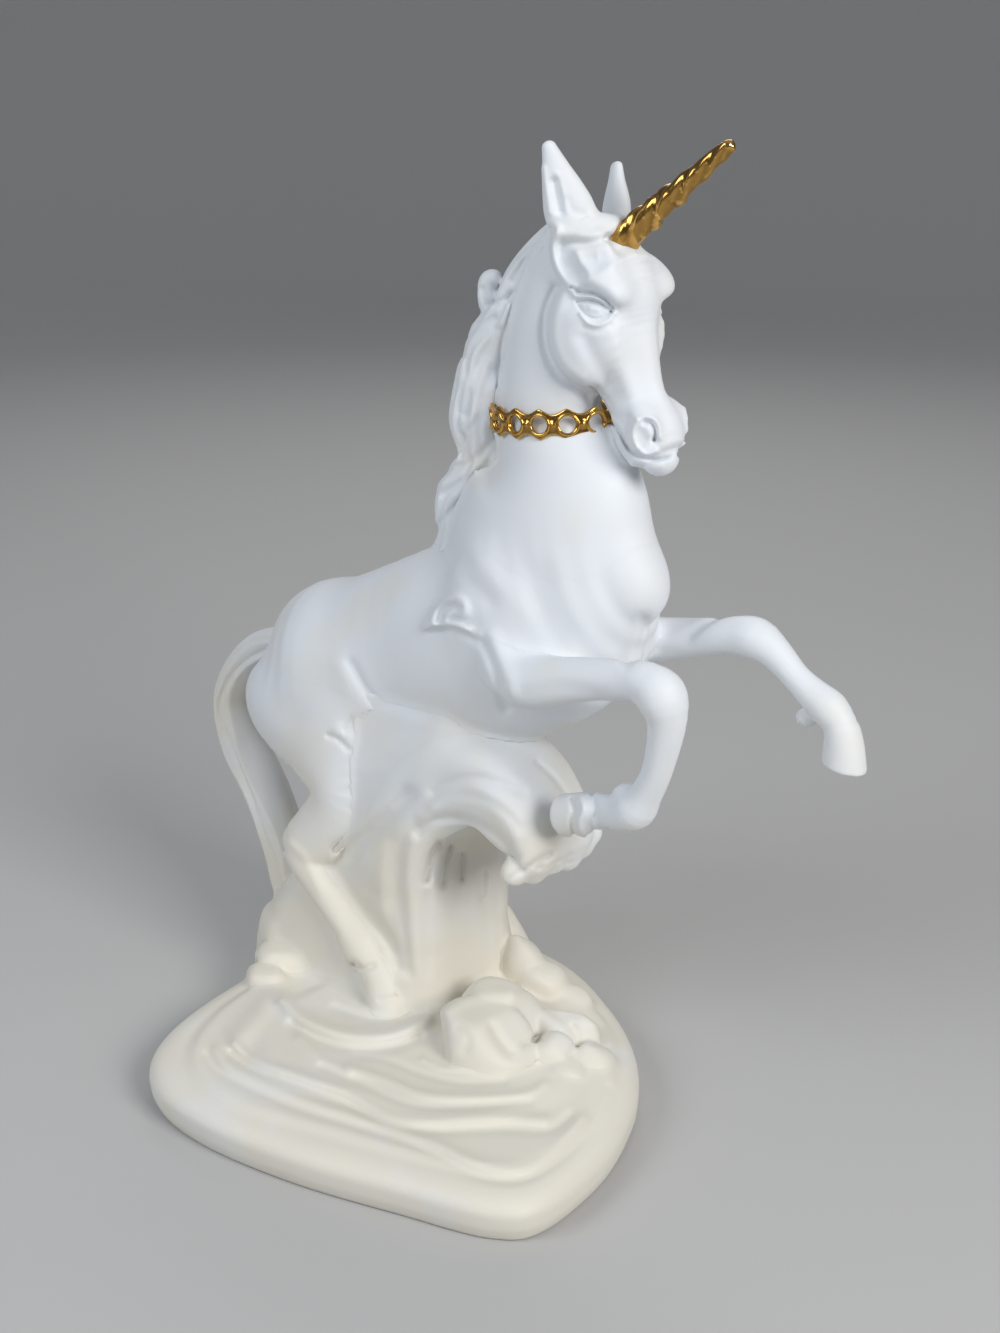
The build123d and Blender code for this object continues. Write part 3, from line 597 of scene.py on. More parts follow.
GROUPS["base"] = [Field(base_shape, (-60, -112, -1), (116, 56, 22))]
GROUPS["wave_column"] = [Field(column_shape, (-76, -36, -1), (40, 32, 142))]
GROUPS["wave_crest"] = [Field(crest_shape, (-20, -32, 50), (72, 14, 124)),
                        *(Ball(centre, radii, k=2.5) for centre, radii in LIP)]
GROUPS["splash_rear"] = rocks([
    ((-61, -14, 20), (11, 11, 12), 3), ((-47, -32, 17), (12, 11, 9), 4),
    ((-70, 4, 17), (11, 12, 10), 5), ((-58, -24, 25), (9, 8, 10), 9),
    ((-44, -44, 15), (10, 8, 7), 21)], 2.4)
GROUPS["rocks_side"] = rocks([
    ((23, 16, 24), (9, 8, 11), 6), ((33, 15, 18), (10, 9, 9), 7),
    ((44, 17, 15), (12, 7, 6), 8)], 3.0)
GROUPS["rocks_front"] = rocks([
    ((47, -30, 17), (20, 15.5, 18), 11), ((42, -15, 19), (17, 13, 16), 12),
    ((66, -17, 15), (10, 9, 11), 13), ((75, -10, 14), (9, 8.5, 9), 14),
    ((75, -20, 13), (8.5, 8, 8.5), 15), ((60, -5, 16), (15, 9, 12), 16)], 2.0)

# How softly each group joins those before it, in this order: the horse, then what it stands on
JOINS = {"torso": 0, "neck": 9, "foreleg_right": 4, "foreleg_left": 4, "hindleg_right": 5,
         "hindleg_left": 5, "shoulder_tuft_right": 2, "shoulder_tuft_left": 2, "head": 2.2,
         "ear_right": 2.5, "ear_left": 2.5, "forelock": 4, "mane_upper": 2.5, "mane_lower": 3,
         "tail": 2}
GROUND = {"wave_column": 0, "wave_crest": 6, "base": 4, "splash_rear": 2.0, "rocks_side": 1.5,
          "rocks_front": 1.2}
# How softly the horse meets what it stands on
MEET = 1.0

# ---------------- lines drawn on the surface

HEAD_LINES = strokes(head_view, [
    # jaw: a deep edge against the neck and a full cheek
    ([(478, 690), (440, 770), (428, 870), (444, 965), (484, 1048), (552, 1102), (630, 1160),
      (684, 1212)], 1.7, 1.7),
    ([(505, 720), (475, 800), (465, 880), (482, 960), (520, 1020), (580, 1068)], 2.4, -0.6),
    # eye: socket, upper fold, upper lid, eyeball, slit, lower lid
    ([(560, 745), (620, 780), (690, 800)], 3.6, 0.7),
    ([(542, 692), (585, 713), (632, 716), (682, 742), (714, 776)], 0.66, 1.3),
    ([(556, 726), (602, 727), (650, 736), (700, 768)], 0.75, -0.8),
    ([(566, 751), (606, 746), (652, 752), (684, 770), (708, 790)], 0.55, 1.25),
    ([(572, 764), (598, 800), (636, 820), (676, 812), (704, 792)], 0.5, 1.0),
    ([(622, 778), (648, 784)], 1.15, -0.75),
    ([(580, 800), (612, 838), (652, 846), (694, 828), (718, 798)], 0.75, -0.7),
    ([(596, 856), (650, 870), (704, 848)], 1.1, 0.4),
    ([(560, 660), (620, 668), (690, 690), (730, 740)], 2.2, -0.6),
    # side of the face
    ([(596, 900), (636, 980), (684, 1060), (716, 1130)], 3.2, 1.2),
    ([(700, 860), (735, 940), (762, 1040), (790, 1120)], 3.0, -0.6),
    ([(805, 860), (815, 1000), (850, 1130)], 4.0, 0.5),
    ([(640, 1120), (690, 1165), (706, 1220)], 1.6, 0.9),
    # nostril
    ([(846, 1246), (872, 1254), (886, 1284), (884, 1316)], 1.0, 1.9),
    ([(832, 1288), (850, 1318), (872, 1330)], 2.0, 0.9),
    ([(812, 1240), (794, 1296), (812, 1350), (850, 1380), (890, 1366)], 1.0, -0.9),
    ([(816, 1236), (860, 1224), (898, 1254), (906, 1312)], 1.0, -0.7),
    ([(776, 1230), (770, 1296), (786, 1350)], 1.4, 0.6),
    # mouth
    ([(690, 1226), (735, 1280), (764, 1336), (792, 1372), (832, 1392), (892, 1400), (960, 1386),
      (998, 1354)], 0.6, 1.5),
    ([(716, 1240), (768, 1312), (800, 1352)], 1.3, -0.5),
    ([(800, 1412), (850, 1432), (910, 1428)], 1.4, -0.4),
], side=BOTH_SIDES)
HAIR_LINES = strokes(head_view, [
    # forelock: rim, two scooped valleys, the ridge between them, lower edge
    ([(484, 450), (464, 505), (468, 570), (498, 640), (548, 694)], 1.6, -1.2),
    ([(462, 452), (438, 520), (444, 600), (486, 680)], 1.2, 0.9),
    ([(492, 470), (556, 466), (620, 474), (682, 462), (742, 432)], 2.0, -0.8),
    ([(510, 512), (560, 512), (620, 510), (690, 486)], 1.6, 1.1),
    ([(516, 548), (536, 596), (570, 636)], 2.0, 1.0),
    ([(566, 550), (582, 592), (612, 628)], 1.6, -0.7),
    ([(636, 572), (652, 592), (668, 566)], 2.4, 0.6),
    ([(552, 698), (604, 664), (676, 626), (750, 576), (806, 548)], 1.6, -0.5),
])
EAR_LINES = strokes(head_view, [
    ([(474, 256), (484, 316), (494, 372)], 1.5, 1.5),
    ([(484, 226), (510, 312), (524, 376)], 1.1, -0.5),
    ([(428, 200), (440, 290), (452, 380)], 1.0, -0.5),
    ([(520, 330), (545, 372), (590, 390)], 1.6, 0.5),
])
EAR_LEFT_LINES = strokes(whole_photo, [([(618, 180), (628, 205)], 1.6, 1.2)], side=FAR_SIDE)
BODY_LINES = strokes(body_view, [
    # back edge of the upper foreleg
    ([(780, 232), (812, 270), (840, 330), (858, 390), (870, 440), (886, 476)], 1.7, 1.0),
    ([(838, 250), (874, 336), (896, 420)], 3.2, -0.7),
    # shoulder and chest
    ([(745, 0), (772, 66), (830, 130)], 3.6, 0.7),
    ([(800, 20), (880, 100), (940, 170)], 4.0, -0.4),
    ([(985, 60), (1008, 150), (1056, 236)], 5.0, 0.8),
    ([(1268, 322), (1300, 268), (1322, 190)], 2.2, 1.1),
    ([(940, 425), (1060, 405), (1180, 430)], 2.6, 0.5),
    # flank and the front of the thigh
    ([(386, 330), (432, 410), (500, 500), (570, 572)], 1.5, 1.1),
    ([(350, 340), (400, 440), (470, 520), (540, 590)], 4.2, -0.8),
    ([(130, 350), (150, 430), (200, 500)], 6.0, 0.8),
    ([(420, 520), (440, 610), (400, 700)], 6.0, 0.5),
    # fold on the haunch
    ([(316, 562), (346, 574), (376, 604)], 1.0, 1.0),
    ([(388, 508), (368, 544)], 0.8, 0.9),
    ([(345, 548), (375, 572)], 2.2, -0.9),
    # gaskin, hock and cannon
    ([(548, 745), (500, 800), (430, 862), (340, 924)], 1.7, 1.5),
    ([(190, 905), (240, 960), (290, 1060)], 1.6, -0.5),
    ([(318, 985), (396, 1100), (480, 1196)], 1.4, 1.1),
    ([(166, 960), (216, 1050), (330, 1200)], 1.3, 0.8),
    # tuft on the shoulder
    ([(628, 214), (655, 209), (690, 205), (722, 209), (756, 220), (792, 240)], 1.5, -1.3),
    ([(645, 198), (656, 162), (690, 130), (722, 122), (746, 140), (752, 168)], 1.6, -1.1),
    ([(690, 176), (712, 164), (734, 176)], 1.2, -0.7),
    ([(668, 190), (678, 162), (704, 146), (730, 148)], 1.0, 0.6),
    ([(636, 230), (690, 225), (740, 232), (778, 252)], 1.2, 0.7),
    ([(704, 192), (732, 196), (760, 206)], 0.9, 0.5),
], side=BOTH_SIDES)
# folds at the left fetlock, the right one and the hind one, and the hair of the right one
LEG_LINES = strokes(whole_photo, [
    ([(822, 741), (840, 743), (862, 736)], 0.8, 1.1),
    ([(822, 727), (840, 728), (860, 720)], 0.9, 0.9),
], side=FAR_SIDE) + strokes(whole_photo, [
    ([(404, 984), (396, 996), (380, 1000)], 0.8, 0.6),
]) + strokes(body_view, [
    ([(396, 1292), (425, 1308), (458, 1296)], 1.0, 1.2),
    ([(1092, 765), (1100, 800), (1092, 840), (1102, 884)], 0.7, 1.0),
    ([(1122, 760), (1130, 800), (1118, 845), (1136, 890)], 1.1, -0.9),
    ([(1160, 752), (1170, 800), (1156, 850), (1184, 876)], 0.9, 0.9),
])
WAVE_BOX = ((-60, -45, 10), (75, 12, 140))
WAVE_LINES = strokes(body_view, [
    # the channel between the hind leg and the column
    ([(566, 752), (512, 812), (440, 880), (366, 944)], 3.0, 2.2),
    ([(340, 985), (410, 1096), (500, 1210), (540, 1300)], 2.6, 2.0),
], side=WHOLE, box=WAVE_BOX) + strokes(wave_view, [
    ([(350, 420), (430, 380), (560, 345), (700, 370), (830, 420)], 1.9, 0.8),
    ([(340, 500), (400, 435), (520, 405), (640, 432), (760, 500), (830, 570)], 1.8, -0.5),
    ([(300, 560), (400, 495), (520, 480), (640, 515), (740, 585), (800, 665)], 2.4, -0.7),
    ([(262, 650), (330, 585), (420, 565), (520, 572), (620, 610), (720, 680),
      (800, 780)], 1.7, 1.0),
    ([(250, 620), (180, 700), (162, 900), (180, 1100), (200, 1300), (215, 1420)], 2.0, 0.9),
    ([(235, 660), (215, 800), (225, 1000), (250, 1250), (280, 1420)], 3.4, -0.6),
    ([(150, 540), (95, 700), (76, 900), (80, 1080)], 3.4, -0.6),
    ([(120, 700), (112, 900), (130, 1100), (160, 1300)], 2.6, 0.7),
    ([(920, 260), (1000, 330), (1070, 420)], 1.1, 0.7),
    ([(310, 910), (335, 780), (380, 705)], 1.4, 2.0),
    ([(402, 930), (412, 800), (440, 720)], 1.3, 2.0),
    ([(502, 900), (500, 820), (505, 760)], 1.2, 1.8),
    ([(618, 1000), (625, 930), (628, 870)], 1.2, 1.4),
    ([(310, 1420), (300, 1200), (310, 1000)], 2.0, 0.6),
    ([(700, 1000), (705, 1200), (715, 1400)], 1.2, 0.4),
    ([(640, 1020), (655, 1200), (660, 1400)], 1.6, 0.4),
    ([(760, 900), (850, 850), (920, 800), (985, 765)], 1.0, 0.7),
    ([(930, 840), (950, 800), (1000, 760)], 1.0, 0.8),
    ([(1010, 850), (1040, 800)], 1.0, 0.6),
    ([(1080, 812), (1100, 770)], 1.0, 0.6),
], side=WHOLE, box=WAVE_BOX)
BASE_BOX = ((-60, -112, 9), (116, 56, 40))
BASE_LINES = strokes(base_view, [
    ([(205, 385), (250, 440), (340, 485), (480, 545), (640, 595), (800, 645), (920, 695),
      (1010, 742), (1100, 768), (1200, 760), (1300, 695), (1380, 605), (1440, 485)], 1.6, 0.7),
    ([(235, 370), (280, 420), (380, 470), (500, 520), (650, 570), (800, 615), (920, 660),
      (1020, 710), (1110, 735), (1200, 725), (1290, 660), (1360, 580)], 2.0, -0.9),
    ([(290, 350), (350, 400), (500, 450), (640, 500), (760, 565), (880, 585), (1100, 575),
      (1240, 580)], 1.8, -1.0),
    ([(280, 380), (360, 430), (500, 480), (640, 535), (760, 598), (880, 618), (1100, 610),
      (1250, 615), (1320, 570)], 1.6, 0.8),
    ([(560, 420), (680, 470), (780, 520), (880, 545), (1050, 540), (1200, 530)], 1.5, 0.8),
    ([(640, 420), (760, 460), (860, 500), (1000, 512), (1180, 502), (1245, 470)], 1.5, -0.9),
    ([(660, 390), (760, 400), (860, 440), (980, 470), (1120, 468)], 1.3, 0.7),
    ([(870, 395), (950, 425), (1100, 415), (1225, 400)], 1.1, -0.7),
    ([(440, 215), (500, 270), (600, 310), (700, 322), (790, 312), (880, 275)], 2.6, -2.2),
    ([(470, 290), (560, 340), (660, 368), (760, 362), (860, 330)], 1.8, 1.0),
    ([(600, 240), (700, 272), (800, 272), (870, 250)], 1.6, 0.9),
    ([(300, 330), (360, 270), (410, 200)], 4.0, -1.8),
    ([(490, 330), (560, 400), (640, 440)], 2.0, -0.8),
], strength=1.1, side=WHOLE, box=BASE_BOX)
ROCK_LINES = strokes(base_view, [
    ([(882, 270), (886, 330), (905, 375)], 1.5, 1.4),
    ([(935, 250), (1030, 205), (1140, 195)], 2.2, -0.8),
    ([(1085, 300), (1105, 335), (1135, 372)], 1.7, 1.1),
    ([(980, 300), (1010, 330), (1000, 370)], 1.8, 0.5),
    ([(1186, 352), (1216, 334)], 1.3, 1.5),
    ([(1180, 185), (1250, 235), (1330, 300)], 2.0, 1.0),
    ([(1230, 180), (1330, 225), (1400, 290)], 1.8, -0.7),
    ([(1330, 300), (1345, 340), (1330, 385)], 1.5, 0.9),
], side=WHOLE, box=BASE_BOX)

LOCK_STEP, LOCK_SWAY, LOCK_SHIFT, RIDGE_SHARE = 4.0, 0.42, 1.9, 0.8


def lock_lines(rows, shares, width, depth, swing):
    """Locks that run along a chain, each a little off the last: valleys and ridges in turn."""
    rows = resample(rows, LOCK_STEP)
    lines = []
    for n, share in enumerate(shares):
        path = []
        for i, r in enumerate(rows):
            t = rows[min(i + 1, len(rows) - 1)][:3] - rows[max(i - 1, 0)][:3]
            t = t / np.linalg.norm(t)
            off = share + swing * math.sin(LOCK_SWAY * i + LOCK_SHIFT * n)
            path.append((r[0] - t[2] * off * r[3], r[2] + t[0] * off * r[3]))
        lift = depth if n % 2 == 0 else -depth * RIDGE_SHARE
        lines.append(Stroke(path, width, lift, side=WHOLE, photo=False))
    return lines


MANE_BOX = ((-10, -16, 160), (70, 6, 290))
MANE_LINES = lock_lines(MANE, (-0.72, -0.42, -0.12, 0.2, 0.52, 0.8), 1.35, 0.8, 0.16)
MANE_LINES += strokes(head_view, [
    ([(462, 560), (400, 620), (340, 690), (300, 780), (262, 880), (246, 1000),
      (246, 1150)], 1.2, 1.3),
    ([(456, 470), (396, 520), (350, 585), (300, 660)], 1.5, 1.1),
    ([(430, 560), (372, 610), (322, 680), (282, 740)], 1.3, 0.9),
    ([(178, 700), (204, 744), (246, 752), (296, 716)], 1.2, 0.9),
    ([(222, 820), (160, 856), (112, 905), (96, 970)], 1.6, 1.2),
    ([(236, 870), (190, 950), (146, 1040), (128, 1130), (104, 1210)], 1.7, 1.3),
    ([(214, 1030), (180, 1120), (160, 1220), (112, 1300), (92, 1376)], 1.6, 1.2),
    ([(236, 1290), (196, 1350), (130, 1408), (60, 1440), (0, 1466)], 1.5, 1.2),
    ([(226, 1360), (170, 1450), (90, 1500), (10, 1540)], 1.5, 1.0),
    ([(210, 1440), (160, 1540), (60, 1600), (-20, 1700)], 1.5, 1.0),
], side=WHOLE, box=MANE_BOX)
TAIL_LINES = lock_lines(TAIL, (-0.6, -0.2, 0.2, 0.6), 1.1, 0.8, 0.12)
SOLE_LEFT = Shave((143.8, 20.6, 127.8), (-0.158, 0, -0.988), ((132, 8, 116), (158, 34, 136)))

LINES = {
    "head": HEAD_LINES + HAIR_LINES, "forelock": HEAD_LINES + HAIR_LINES,
    "ear_right": EAR_LINES + HAIR_LINES, "ear_left": EAR_LEFT_LINES,
    "neck": BODY_LINES + HEAD_LINES[:1], "torso": BODY_LINES,
    "foreleg_right": BODY_LINES + LEG_LINES,
    "foreleg_left": BODY_LINES + LEG_LINES + [SOLE_LEFT],
    "hindleg_right": BODY_LINES + LEG_LINES, "hindleg_left": BODY_LINES,
    "shoulder_tuft_right": BODY_LINES, "shoulder_tuft_left": BODY_LINES,
    "mane_upper": MANE_LINES, "mane_lower": MANE_LINES, "tail": TAIL_LINES,
    "base": BASE_LINES, "wave_column": WAVE_LINES + BASE_LINES, "wave_crest": WAVE_LINES,
    "splash_rear": BASE_LINES, "rocks_side": [], "rocks_front": ROCK_LINES,
}
# The voxels of each sub-part
VOXELS = {"head": 0.36, "forelock": 0.36, "ear_right": 0.36, "ear_left": 0.4, "neck": 0.7,
          "torso": 0.85, "foreleg_right": 0.55, "foreleg_left": 0.55, "hindleg_right": 0.65,
          "hindleg_left": 0.65, "shoulder_tuft_right": 0.5, "shoulder_tuft_left": 0.5,
          "mane_upper": 0.5, "mane_lower": 0.5, "tail": 0.6, "base": 0.85, "wave_column": 0.75,
          "wave_crest": 0.6, "splash_rear": 0.6, "rocks_side": 0.6, "rocks_front": 0.6}
# How many voxels each sub-part is softened over before its lines are drawn
SOFT, SOFT_USUALLY = {"neck": 2.2, "torso": 1.6}, 0.9

# ---------------- the sculpted sub-parts

MARGIN, FLOOR_MARGIN = 3.0, 1.0
# Each sub-part runs on into its neighbours by OVERLAP, a little below their surface
OVERLAP, SINKING = 1.5, 0.08


def box_of(forms, margin):
    """Low and high corners of a group of forms, with a margin all round."""
    low, high = np.full(3, HUGE), np.full(3, -HUGE)
    for form in forms:
        for a, b, _ in form.parts():
            low, high = np.minimum(low, a), np.maximum(high, b)
    return low - margin, high + margin


def touches(grid, forms):
    """Whether any of the forms comes near the grid."""
    low, high = box_of(forms, FAR)
    top = grid.low + grid.voxel * np.array(grid.shape)
    return bool(np.all(low < top) and np.all(high > grid.low))


def union(fields, joins):
    """The fields of the groups that are there, each joined softly to those before it."""
    out = None
    for name, k in joins.items():
        if name in fields:
            out = fields[name] if out is None else smin(out, fields[name], k)
    return out


def whole_field(grid, fields):
    """The horse and what it stands on as one body, with the niche cut out of the wave."""
    horse, stage = union(fields, JOINS), union(fields, GROUND)
    if stage is not None and touches(grid, NICHE):
        stage = smax(stage, -group_field(grid, NICHE), NICHE_ROUNDING)
    if horse is None or stage is None:
        return stage if horse is None else horse
    return smin(horse, stage, MEET)


def sculpt(name):
    """The mesh of one sub-part, its own share of the whole body, in the row's metres."""
    low, high = box_of(GROUPS[name], MARGIN)
    if name in GROUND:
        low[2] = max(low[2], -FLOOR_MARGIN)
    grid = Grid(low, high, VOXELS[name] * COARSER)
    fields = {group: group_field(grid, forms) for group, forms in GROUPS.items()
              if group == name or touches(grid, forms)}
    whole = blur(whole_field(grid, fields), SOFT.get(name, SOFT_USUALLY))
    for line in LINES[name]:
        line.apply(grid, whole)
    own = fields.pop(name)
    if fields:
        region = own - np.minimum.reduce(list(fields.values()))
        whole = np.maximum(whole + SINKING * np.maximum(region, 0), region - OVERLAP)
    whole = np.maximum(whole, -grid.places()[2])
    # the grid's own faces lie outside, so that the mesh is closed
    rim = np.ones(grid.shape, bool)
    rim[1:-1, 1:-1, 1:-1] = False
    whole[rim] = np.maximum(whole[rim], grid.voxel)
    points, quads = grid.mesh(whole)
    points[:, 2] = np.maximum(points[:, 2], 0)
    return points, quads


def shown(name, mesh):
    """A smooth-shaded object of the mesh, in the scene."""
    mesh.polygons.foreach_set("use_smooth", np.ones(len(mesh.polygons), bool))
    mesh.validate()
    obj = bpy.data.objects.new(name, mesh)
    bpy.context.scene.collection.objects.link(obj)
    return obj


def quad_object(name, points, quads):
    mesh = bpy.data.meshes.new(name)
    mesh.vertices.add(len(points))
    mesh.vertices.foreach_set("co", points.astype(np.float32).ravel())
    mesh.loops.add(quads.size)
    mesh.loops.foreach_set("vertex_index", quads.astype(np.int32).ravel())
    mesh.polygons.add(len(quads))
    starts = np.arange(0, quads.size, quads.shape[1], dtype=np.int32)
    mesh.polygons.foreach_set("loop_start", starts)
    mesh.update(calc_edges=True)
    return shown(name, mesh)


def face_object(name, points, faces):
    mesh = bpy.data.meshes.new(name)
    mesh.from_pydata(points, [], faces)
    return shown(name, mesh)


def ring_faces(rings, around):
    """Quads between one ring of points and the next, all wound alike."""
    faces = []
    for i in range(0, (rings - 1) * around, around):
        for j in range(around):
            k = (j + 1) % around
            faces.append((i + j, i + k, i + around + k, i + around + j))
    return faces


# ---------------- gilding

HORN_TILT = math.radians(37.5)
HORN_FOOT = np.array([72.7, 0, 274.9])
HORN_LENGTH, HORN_SUNK, HORN_ROOT, HORN_TIP = 48.0, 3.0, 4.8, 1.9
HORN_RINGS, HORN_AROUND, HORN_TURNS = 190, 110, 1.6
HORN_ROUGH = 0.2
# Ridges that wind round it: height and number, and how the small ones drift along it
RIDGE, RIDGES = 0.46, 3
SMALL_RIDGE, SMALL_RIDGES, DRIFT = 0.2, 5, 9
# Irregular lumps: number, sizes along it, heights, and spreads round it
LUMPS, LUMP_SIZES, LUMP_HEIGHTS, LUMP_SPREADS = 70, (0.016, 0.04), (-0.6, 0.6), (0.3, 0.8)
# The shares of its length where it starts to close and over which it does, and how thin it ends
HORN_CLOSING, CLOSING_RUN, HORN_THINNEST = 0.965, 0.035, 0.0004


def horn_radius(s, phi):
    """The horn's radius, with ridges that wind round it and irregular lumps."""
    draw = np.random.default_rng(5)
    twist = phi + 2 * math.pi * HORN_TURNS * s
    lumps = RIDGE * np.cos(RIDGES * twist)
    lumps = lumps + SMALL_RIDGE * np.cos(SMALL_RIDGES * twist + DRIFT * s)
    for _ in range(LUMPS):
        cs, cp = draw.uniform(0, 1), draw.uniform(0, 2 * math.pi)
        size, height = draw.uniform(*LUMP_SIZES), draw.uniform(*LUMP_HEIGHTS)
        dp = (twist - cp + math.pi) % (2 * math.pi) - math.pi
        spread = draw.uniform(*LUMP_SPREADS)
        lumps = lumps + height * np.exp(-((s - cs) / size) ** 2 - (dp / spread) ** 2)
    radius = (HORN_ROOT + (HORN_TIP - HORN_ROOT) * s) * (1 + HORN_ROUGH * lumps)
    closing = np.clip((s - HORN_CLOSING) / CLOSING_RUN, 0, 1)
    return radius * np.sqrt(np.maximum(1 - closing ** 2, HORN_THINNEST))


def make_horn():
    """The horn as rings of points, closed at its foot and its tip."""
    axis = np.array([math.cos(HORN_TILT), 0, math.sin(HORN_TILT)])
    s = np.linspace(0, 1, HORN_RINGS)[:, None]
    phi = np.linspace(0, 2 * math.pi, HORN_AROUND, endpoint=False)[None, :]
    start, length = HORN_FOOT - axis * HORN_SUNK, HORN_LENGTH + HORN_SUNK
    spokes = np.cos(phi)[..., None] * Y_AXIS + np.sin(phi)[..., None] * np.cross(axis, Y_AXIS)
    points = start + axis * (s * length)[..., None] + horn_radius(s, phi)[..., None] * spokes
    points = np.vstack([points.reshape(-1, 3), start, start + axis * length])
    faces = ring_faces(HORN_RINGS, HORN_AROUND)
    foot, top, last = len(points) - 2, len(points) - 1, (HORN_RINGS - 1) * HORN_AROUND
    for j in range(HORN_AROUND):
        k = (j + 1) % HORN_AROUND
        faces += [(foot, k, j), (top, last + j, last + k)]
    return face_object("gilded_horn", ((points + SHIFT) * MM).tolist(), faces)


COLLAR_CENTRE = np.array([48.6, 0, 221.6])
COLLAR_ROOM = (23, 18, 14)
COLLAR_TILT = math.radians(5.0)
COLLAR_DEEP, COLLAR_BROAD, COLLAR_LINKS = 20.2, 13.7, 13
COLLAR_THICK, COLLAR_HEIGHT, COLLAR_VOXEL, COLLAR_FAR = 1.2, 9.4, 0.2, 3.0
# A link: width share of its hexagon, half height of the bar between two, hole, knob
HEXAGON_SHARE, WAIST, HOLE, KNOB, KNOB_SUNK = 0.9, 3.0, 2.55, 1.0, 0.5
RIM_OFF, RIM_PROUD, RIM_THICK = 0.4, 0.1, 0.52
CORNER_EDGE, WAIST_EDGE, HOLE_EDGE, BAND_EDGE, KNOB_EDGE = 0.4, 0.7, 0.3, 0.5, 0.8
SIN_60 = 0.866
# How finely the band's oval is unrolled
OVAL_POINTS = 1441


def collar_field(x, y, z):
    """Distance to the band and to its rims, by the unrolled pattern of links."""
    ct, st = math.cos(COLLAR_TILT), math.sin(COLLAR_TILT)
    rx, ry, rz = x - COLLAR_CENTRE[0], y - COLLAR_CENTRE[1], z - COLLAR_CENTRE[2]
    fore, up = rx * ct + rz * st, -rx * st + rz * ct
    half = COLLAR_THICK / 2
    deep, broad = COLLAR_DEEP + half, COLLAR_BROAD + half
    table = np.linspace(0, 2 * math.pi, OVAL_POINTS)
    ex, ey = deep * np.cos(table), broad * np.sin(table)
    run = np.concatenate([[0], np.cumsum(np.hypot(np.diff(ex), np.diff(ey)))])
    k0 = np.hypot(fore / deep, ry / broad)
    k1 = np.hypot(fore / deep ** 2, ry / broad ** 2)
    off = k0 * (k0 - 1) / k1
    arc = np.interp(np.arctan2(ry / broad, fore / deep) % (2 * math.pi), table, run)
    pitch = run[-1] / COLLAR_LINKS
    across = arc - pitch * (np.floor(arc / pitch) + 0.5)
    reach = np.hypot(across, up)
    across, up = np.abs(across), np.abs(up)
    # six-sided link with soft corners, a waist bar, a round hole, a raised rim and a knob
    size = 0.5 * COLLAR_HEIGHT
    hexagon = np.maximum(across, 0.5 * across + SIN_60 * up) - size * HEXAGON_SHARE
    plate = smin(smax(hexagon, reach - size, CORNER_EDGE), up - WAIST, WAIST_EDGE)
    plate = smax(plate, HOLE - reach, HOLE_EDGE)
    band = smax(plate, np.abs(off) - half, BAND_EDGE)
    rim = np.hypot(reach - (HOLE + RIM_OFF), off - half - RIM_PROUD) - RIM_THICK
    knob = np.hypot(np.hypot(across - pitch / 2, up), off - half + KNOB_SUNK) - KNOB
    return smin(band, knob, KNOB_EDGE), rim


def make_collar():
    """The pierced band and the rims round its holes, as two objects."""
    grid = Grid(COLLAR_CENTRE - COLLAR_ROOM, COLLAR_CENTRE + COLLAR_ROOM, COLLAR_VOXEL * COARSER)
    made = []
    for name, field in zip(("collar_links", "collar_rims"), collar_field(*grid.places())):
        near = np.clip(field, -COLLAR_FAR, COLLAR_FAR)
        made.append(quad_object(name, *grid.mesh(near, COLLAR_FAR)))
    return made


# ---------------- materials


def paint(colour):
    """A colour as a socket takes it."""
    return (*colour, 1)


class Nodes:
    """One material's nodes. An input is a constant, or the socket that it is linked from."""

    def __init__(self, name):
        self.material = bpy.data.materials.new(name)
        self.material.use_nodes = True
        self.tree = self.material.node_tree
        self.shader = self.tree.nodes["Principled BSDF"]

    def fill(self, node, inputs):
        for name, value in inputs.items():
            if isinstance(value, bpy.types.NodeSocket):
                self.tree.links.new(value, node.inputs[name])
            else:
                node.inputs[name].default_value = value

    def add(self, kind, inputs, output):
        """A new node with these inputs, as the output that is used."""
        node = self.tree.nodes.new("ShaderNode" + kind)
        self.fill(node, inputs)
        return node.outputs[output]

    def noise(self, place, scale, detail=2.0):
        return self.add("TexNoise", {"Vector": place, "Scale": scale, "Detail": detail}, "Fac")

    def ranged(self, value, start=0.0, end=1.0, low=0.0, high=1.0):
        """The value, from the range between start and end to that between low and high."""
        return self.add("MapRange", {"Value": value, "From Min": start, "From Max": end,
                                     "To Min": low, "To Max": high}, "Result")

    def bump(self, height, strength, distance, **under):
        return self.add("Bump", {"Height": height, "Strength": strength,
                                 "Distance": distance, **under}, "Normal")

    def mix(self, share, first, second):
        """A colour between two, by a share from 0 to 1."""
        node = self.tree.nodes.new("ShaderNodeMix")
        node.data_type = "RGBA"
        # the sockets of a mix of colours: 0 share, 6 and 7 colours, 2 result
        self.fill(node, {0: share, 6: first, 7: second})
        return node.outputs[2]

    def math(self, operation, a, b, clamp=False):
        node = self.tree.nodes.new("ShaderNodeMath")
        node.operation, node.use_clamp = operation, clamp
        self.fill(node, {0: a, 1: b})
        return node.outputs["Value"]


